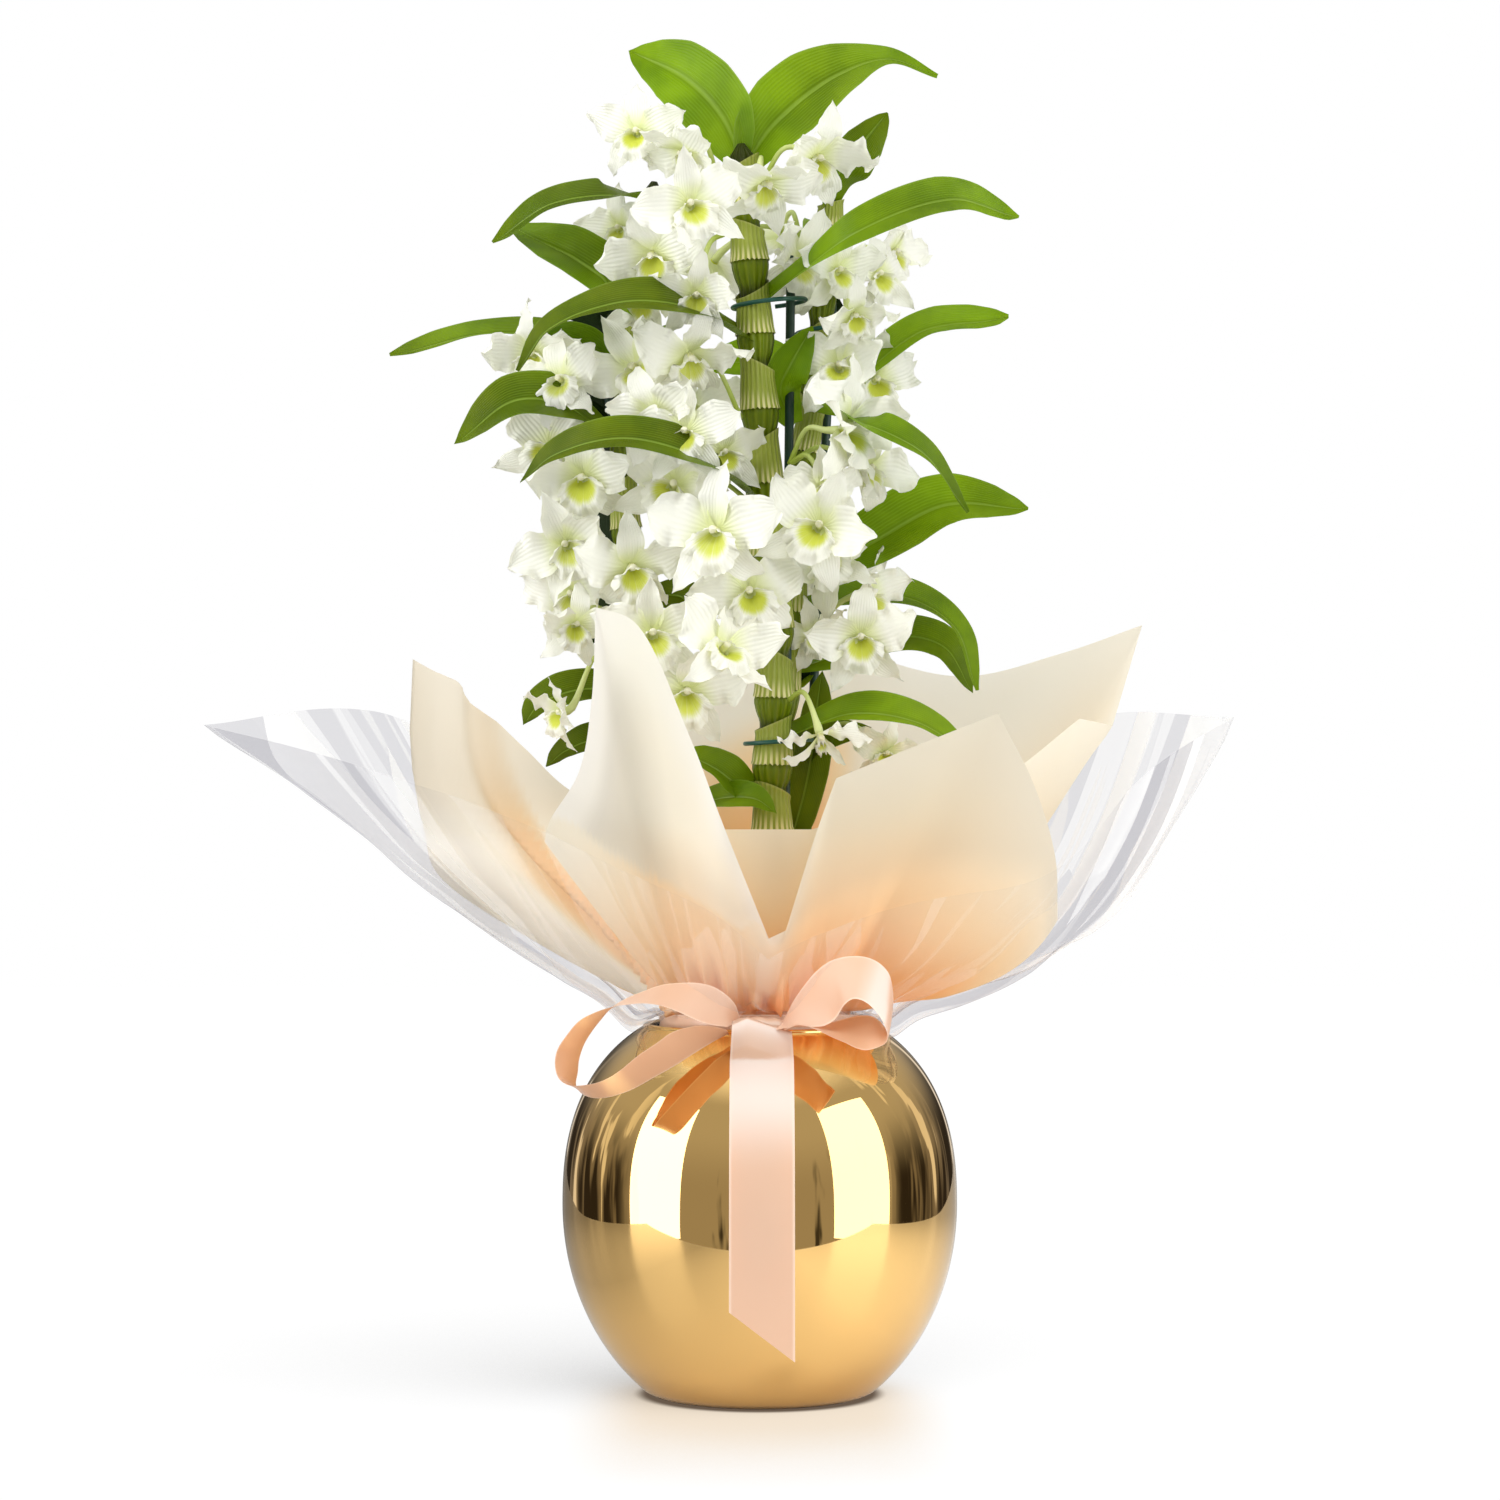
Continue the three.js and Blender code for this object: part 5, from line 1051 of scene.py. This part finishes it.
def build_film():
    folds = scatter_creases(seed=12, count=30, height=3.5, width=5, end=0.5)
    folds += scatter_creases(seed=13, count=14, height=8, width=9, end=1.1)
    grid, u, angle = wrap(FILM_EDGE, FILM_CORNERS, folds, neck_radius=46.5, per_span=18, rows=54,
                          bend=FILM_BEND, sag=7.5)
    north = np.sin(angle)
    open_side = smooth(-0.42, -0.12, north) * (1 - 0.5 * smooth(0.4, 0.75, north))
    grid = crinkle(grid, u, angle)
    film = surface("film_sheet", FILM, "cellophane", "film", grid, (angle, u, open_side), ring=True)


# Ribbon

def build_band():
    a = turns(96)[None]
    rise = np.linspace(-0.5, 0.5, 7)[:, None] * BAND["height"]
    radius = BAND["radius"] + 0.3 + 0.35 * np.sin(6 * rise + 3 * np.sin(2 * a))
    z = NECK["flare"] - BAND["drop"] - NECK["tilt"] * np.sin(a) + rise
    points = np.stack([radius * np.cos(a), radius * np.sin(a), z], -1)
    # the third number, here 0.3, is the strength of the painted highlight
    place = (rise * 2 / BAND["height"], a * 0.5, 0.3)
    band = surface("ribbon_band_piece", SATIN, "ribbon_band", "satin", points, place, ring=True)


def build_tail():
    """Down the front of the vase from a slanted fold over the knot."""
    fold, fall = TAIL["fold"], TAIL["fall"]
    v = np.linspace(1, -1, 13)
    top = np.interp(v, [-1, -0.5, 1], [182.5, 185.6, 178.8])
    foot = np.interp(v, [-1, 1], [TAIL["low_left"], TAIL["low_right"]])
    down = np.concatenate([[-7, -4, -1.5], np.linspace(0, 1, 70) ** 1.2 * fall])[:, None]
    z = np.where(down < 0, top + down, top - (top - foot) * np.clip(down / fall, 0, 1))
    lying = -vase_radius(np.minimum(z, 176)) - TAIL["off"]
    hanging = -vase_radius(VASE["waist"]) - TAIL["off"]
    y = np.where(z > VASE["waist"], lying, hanging)
    y = np.minimum(y, fold - 6 * np.sqrt(np.clip((top - z) / 14, 0, 1)))
    y = np.where(down < 0, fold + 4 * np.sin(np.clip(-down / 7, 0, 1) * 1.6), y)
    half = np.interp(z, [29, 120, 165, 186], [15.2, 15.1, 14.9, 13.6])
    points = np.stack([TAIL["centre"] + v * half, y - 0.35 * (1 - v**2), z], -1)
    # the third number, here 0.85, is the strength of the painted highlight
    tail = surface("ribbon_tail_piece", SATIN, "ribbon_tail", "satin", points, (v, down / 100, 0.85))


def build_knot():
    lat = np.linspace(-np.pi / 2, np.pi / 2, 25)[:, None]
    lon = turns(48)[None]
    crease = 1 - 0.12 * np.abs(np.sin(5 * lat + 1.5 * np.cos(lon)))
    x, y, z = KNOT["size"]
    knot = np.stack([x * np.sin(lat) + 0 * lon, y * crease * np.cos(lat) ** 0.6 * np.cos(lon),
                     0.6 * z * crease * np.cos(lat) ** 0.6 * np.sin(lon)], -1) + KNOT["at"]
    # the third number, here 0.4, is the strength of the painted highlight
    surface("bow_knot_piece", SATIN, "bow_knot", "satin", knot, (0.3 * lon / np.pi, lat, 0.4), ring=True)


def loop_grid(stations, hand, rows=130, columns=11, crown=0.5):
    """A ribbon with its two edges through the stations. Hand, 1 or -1, turns its faces outwards."""
    table = []
    for near_x, near_z, far_x, far_z, depth, width in stations:
        seen = math.hypot(far_x - near_x, far_z - near_z)
        half = math.sqrt(max(width**2 - seen**2, 4)) / 2
        table.append(((near_x + far_x) / 2, depth, (near_z + far_z) / 2,
                      (far_x - near_x) / 2, half, (far_z - near_z) / 2))
    row = spaced(table, np.linspace(0, 1, rows))
    centre, reach = row[:, :3], row[:, 3:6]
    normal = unit(np.cross(along(centre), reach))
    v = np.linspace(-1, 1, columns)[:, None] * hand
    points = centre[:, None] + v * reach[:, None] + (crown * (1 - v**2)) * normal[:, None]
    return points, centre, v.T


def build_loops():
    for name, stations in LOOPS.items():
        grid, centre, v = loop_grid(stations, 1 if name == "left" else -1)
        u = np.linspace(0, 1, len(centre))[:, None]
        run = np.linalg.norm(np.diff(centre, axis=0), axis=1).sum()
        # the third number, the painted highlight's strength, is greatest at the right loop's outer bend
        place = (v, u * run / 100, 0.15 + 0.75 * smooth(44, 56, centre[:, :1]))
        loop = surface(f"bow_{name}_piece", SATIN, f"bow_loop_{name}", "satin", grid, place)


# Bark in the pot

def build_bark():
    shape = Shape()
    rng = np.random.default_rng(7)
    lat = np.linspace(-1.3, 1.3, 5)[:, None]
    lon = turns(7)[None]
    for _ in range(130):
        spot, size = rng.uniform(0, 1) ** 0.5 * 36, rng.uniform(2.5, 5)
        way = rng.uniform(0, 2 * np.pi)
        at = np.array([spot * math.cos(way), spot * math.sin(way), 150.5 + rng.uniform(0, 2)])
        x, y, z = (rng.normal(size=3) for _ in range(3))
        x = unit(x)
        y = unit(y - x * (x @ y))
        z = np.cross(x, y)
        bumps = rng.uniform(0.75, 1.2, (5, 7))
        local = np.stack([size * 1.5 * np.sin(lat) + 0 * lon, size * bumps * np.cos(lat) * np.cos(lon),
                          size * 0.55 * bumps * np.cos(lat) * np.sin(lon)], -1)
        shape.grid(at + local @ np.stack([x, y, z]), ring=True, caps=True)
    shape.piece("bark_chips", [BARK], (), flat_shaded=True)
    for node, material in (("potting_bark", BARK), ("nursery_pot", POT)):
        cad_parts[node].data.materials.clear()
        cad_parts[node].data.materials.append(material)


# Studio, in metres

CAMERA = {"at": (-0.0047, -2.0, 0.31), "lens": 99.6, "sensor": 36}
FLOOR = {"left": -2.4, "right": 2.4, "near": -0.4, "far": 3.4}
TABLE = {"sides": (0.71, 0.73), "front": (-0.335, -0.345)}  # where the floor that the vase mirrors fades out
# Each soft box: its name, place, aim, width, height and power, and whether a mirror shows it.
SOFT_BOXES = [
    ("box_left", (-0.95, -0.52, 0.42), (0, 0, 0.3), 0.66, 1.16, 9.4, True),
    ("box_right", (0.95, -0.56, 0.42), (0, 0, 0.3), 0.74, 1.16, 7.6, True),
    ("box_top", (-0.25, -0.8, 1.5), (0, 0, 0.35), 0.7, 0.4, 7, False),
]


def link(name, data):
    obj = bpy.data.objects.new(name, data)
    bpy.context.scene.collection.objects.link(obj)
    return obj


def build_camera():
    camera = bpy.data.cameras.new("camera")
    camera.lens, camera.sensor_width, camera.clip_end = CAMERA["lens"], CAMERA["sensor"], 20
    view = link("camera", camera)
    view.location = CAMERA["at"]
    view.rotation_euler = (math.radians(90), 0, 0)
    bpy.context.scene.camera = view


def floor_material():
    n = Nodes("floor")
    spot = n.position()
    east, north, _ = n.parts(spot)
    aside = n.size(east)
    far_off = n.add("VectorMath", {0: spot}, out="Value", operation="LENGTH")
    path = n.add("LightPath", out=None)
    # what lights the plant and shows in the vase: a pale table top, with painted shade dimmer to the left and
    # far off
    colour = n.mix(n.noise(3, 2), (0.8, 0.79, 0.78), (0.82, 0.81, 0.8))
    colour = n.ramp(far_off, colour, (0.22, 0.8, (0.45, 0.445, 0.44)))
    lean = n.add("MapRange", {0: east, 1: -0.2, 2: 0.1, 3: 0.42, 4: 1.06})
    surface = n.principled(n.mix(1.0, colour, lean, "MULTIPLY"), 0.3, specular=0.3)
    beyond = n.most(n.step(aside, *TABLE["sides"]), n.step(north, *TABLE["front"]))
    beyond = n.times(beyond, path["Is Glossy Ray"])
    surface = n.add("MixShader", {0: beyond, 1: surface, 2: n.add("BsdfTransparent")})
    # what the eye sees: white, with a soft shadow behind to the left and the vase's warm light before it
    from_right = n.add("CombineXYZ", {0: 0.4, 1: -0.8, 2: 0.45})
    open_share = n.add("AmbientOcclusion", {"Distance": 0.42, "Normal": from_right}, out="AO", samples=12)
    from_back = n.add("CombineXYZ", {0: 0.0, 1: 0.9, 2: 0.44})
    clear_share = n.add("AmbientOcclusion", {"Distance": 0.2, "Normal": from_back}, out="AO", samples=12)
    seen = n.ramp(open_share, (0.4, 0.39, 0.38), (0.0, 0.95, (1.03, 1.03, 1.03)))
    warm_tone_and_painted_glow = n.ramp(clear_share, (0.88, 0.76, 0.62), (0.5, 0.99, (1.0, 1.0, 1.0)))
    warm_tone_and_painted_glow = n.ramp(aside, warm_tone_and_painted_glow, (0.05, 0.1, (1.0, 1.0, 1.0)))
    # painted contact shadow in a thin ring round the vase's foot
    seen = n.ramp(far_off, n.mix(1.0, seen, warm_tone_and_painted_glow, "MULTIPLY"), (0.062, 0.054, (0.14, 0.1, 0.07)))
    white = n.add("Emission", {"Color": seen, "Strength": 1.0})
    return n.finish(n.add("MixShader", {0: path["Is Camera Ray"], 1: surface, 2: white}))


def build_floor():
    mesh = bpy.data.meshes.new("floor")
    left, right, near, far = FLOOR["left"], FLOOR["right"], FLOOR["near"], FLOOR["far"]
    mesh.from_pydata([(left, near, 0), (right, near, 0), (right, far, 0), (left, far, 0)], [], [(0, 1, 2, 3)])
    mesh.materials.append(floor_material())
    link("floor", mesh)


def build_lights():
    for name, at, aim, width, height, power, mirrored in SOFT_BOXES:
        light = bpy.data.lights.new(name, "AREA")
        light.shape = "RECTANGLE"
        light.size, light.size_y, light.energy = width, height, power
        obj = link(name, light)
        obj.location = at
        obj.rotation_euler = (Vector(aim) - Vector(at)).to_track_quat("-Z", "Y").to_euler()
        obj.visible_glossy = mirrored


def build_world():
    """White to the eye, a soft sky as light, and to a mirror a dim room with streaks and a bright ceiling."""
    world = bpy.data.worlds.new("studio")
    bpy.context.scene.world = world
    w = Nodes(world)
    east, north, up = w.parts(w.add("TexCoord", out="Generated"))
    sky = w.ramp(up, (0.36, 0.36, 0.37), (0.0, 0.8, (0.95, 0.95, 0.95)))
    sky = w.ramp(north, sky, (0.1, 0.9, (1.35, 1.35, 1.35)))
    front = w.times(w.step(north, -0.2, -0.95), w.step(w.size(up), 0.8, 0.1))
    sky = w.mix(front, sky, (0.74, 0.74, 0.73))
    azimuth = w.math("ARCTAN2", east, w.times(north, -1.0))
    streaks = w.noise(4.0, 3, w.add("CombineXYZ", {0: azimuth, 1: w.times(up, 0.25)}), 0.6)
    aside = w.step(w.size(azimuth), 1.35, 1.6)
    lines = w.times(w.step(streaks, 0.57, 0.6), aside)
    ahead_dim = w.ramp(streaks, (0.05, 0.045, 0.035), (0.36, 0.44, (0.38, 0.36, 0.32)))
    aside_dim = w.ramp(streaks, (0.03, 0.025, 0.02), (0.46, 0.56, (0.22, 0.2, 0.17)))
    room = w.ramp(up, w.mix(aside, ahead_dim, aside_dim), (0.02, 0.5, (0.5, 0.49, 0.45)))
    room = w.mix(lines, room, (0.85, 0.83, 0.78))
    glossy = w.ramp(up, room, (0.7, 0.95, (1.1, 1.1, 1.1)))
    path = w.add("LightPath", out=None)
    seen = w.mix(path["Is Glossy Ray"], sky, glossy)
    seen = w.mix(path["Is Camera Ray"], seen, (1.0, 1.0, 1.0))
    w.finish(w.add("Background", {0: seen, 1: 1.0}), "World")


def set_view():
    settings = bpy.context.scene.view_settings
    settings.view_transform, settings.look = "Standard", "None"
    settings.exposure, settings.gamma = 0, 1


for build in (build_camera, build_floor, build_lights, build_world, set_view, build_vase, build_sprays,
              build_canes, build_supports, build_band, build_tail, build_knot, build_loops,
              build_inner_sheet, build_outer_sheet, build_film, build_bark):
    build()
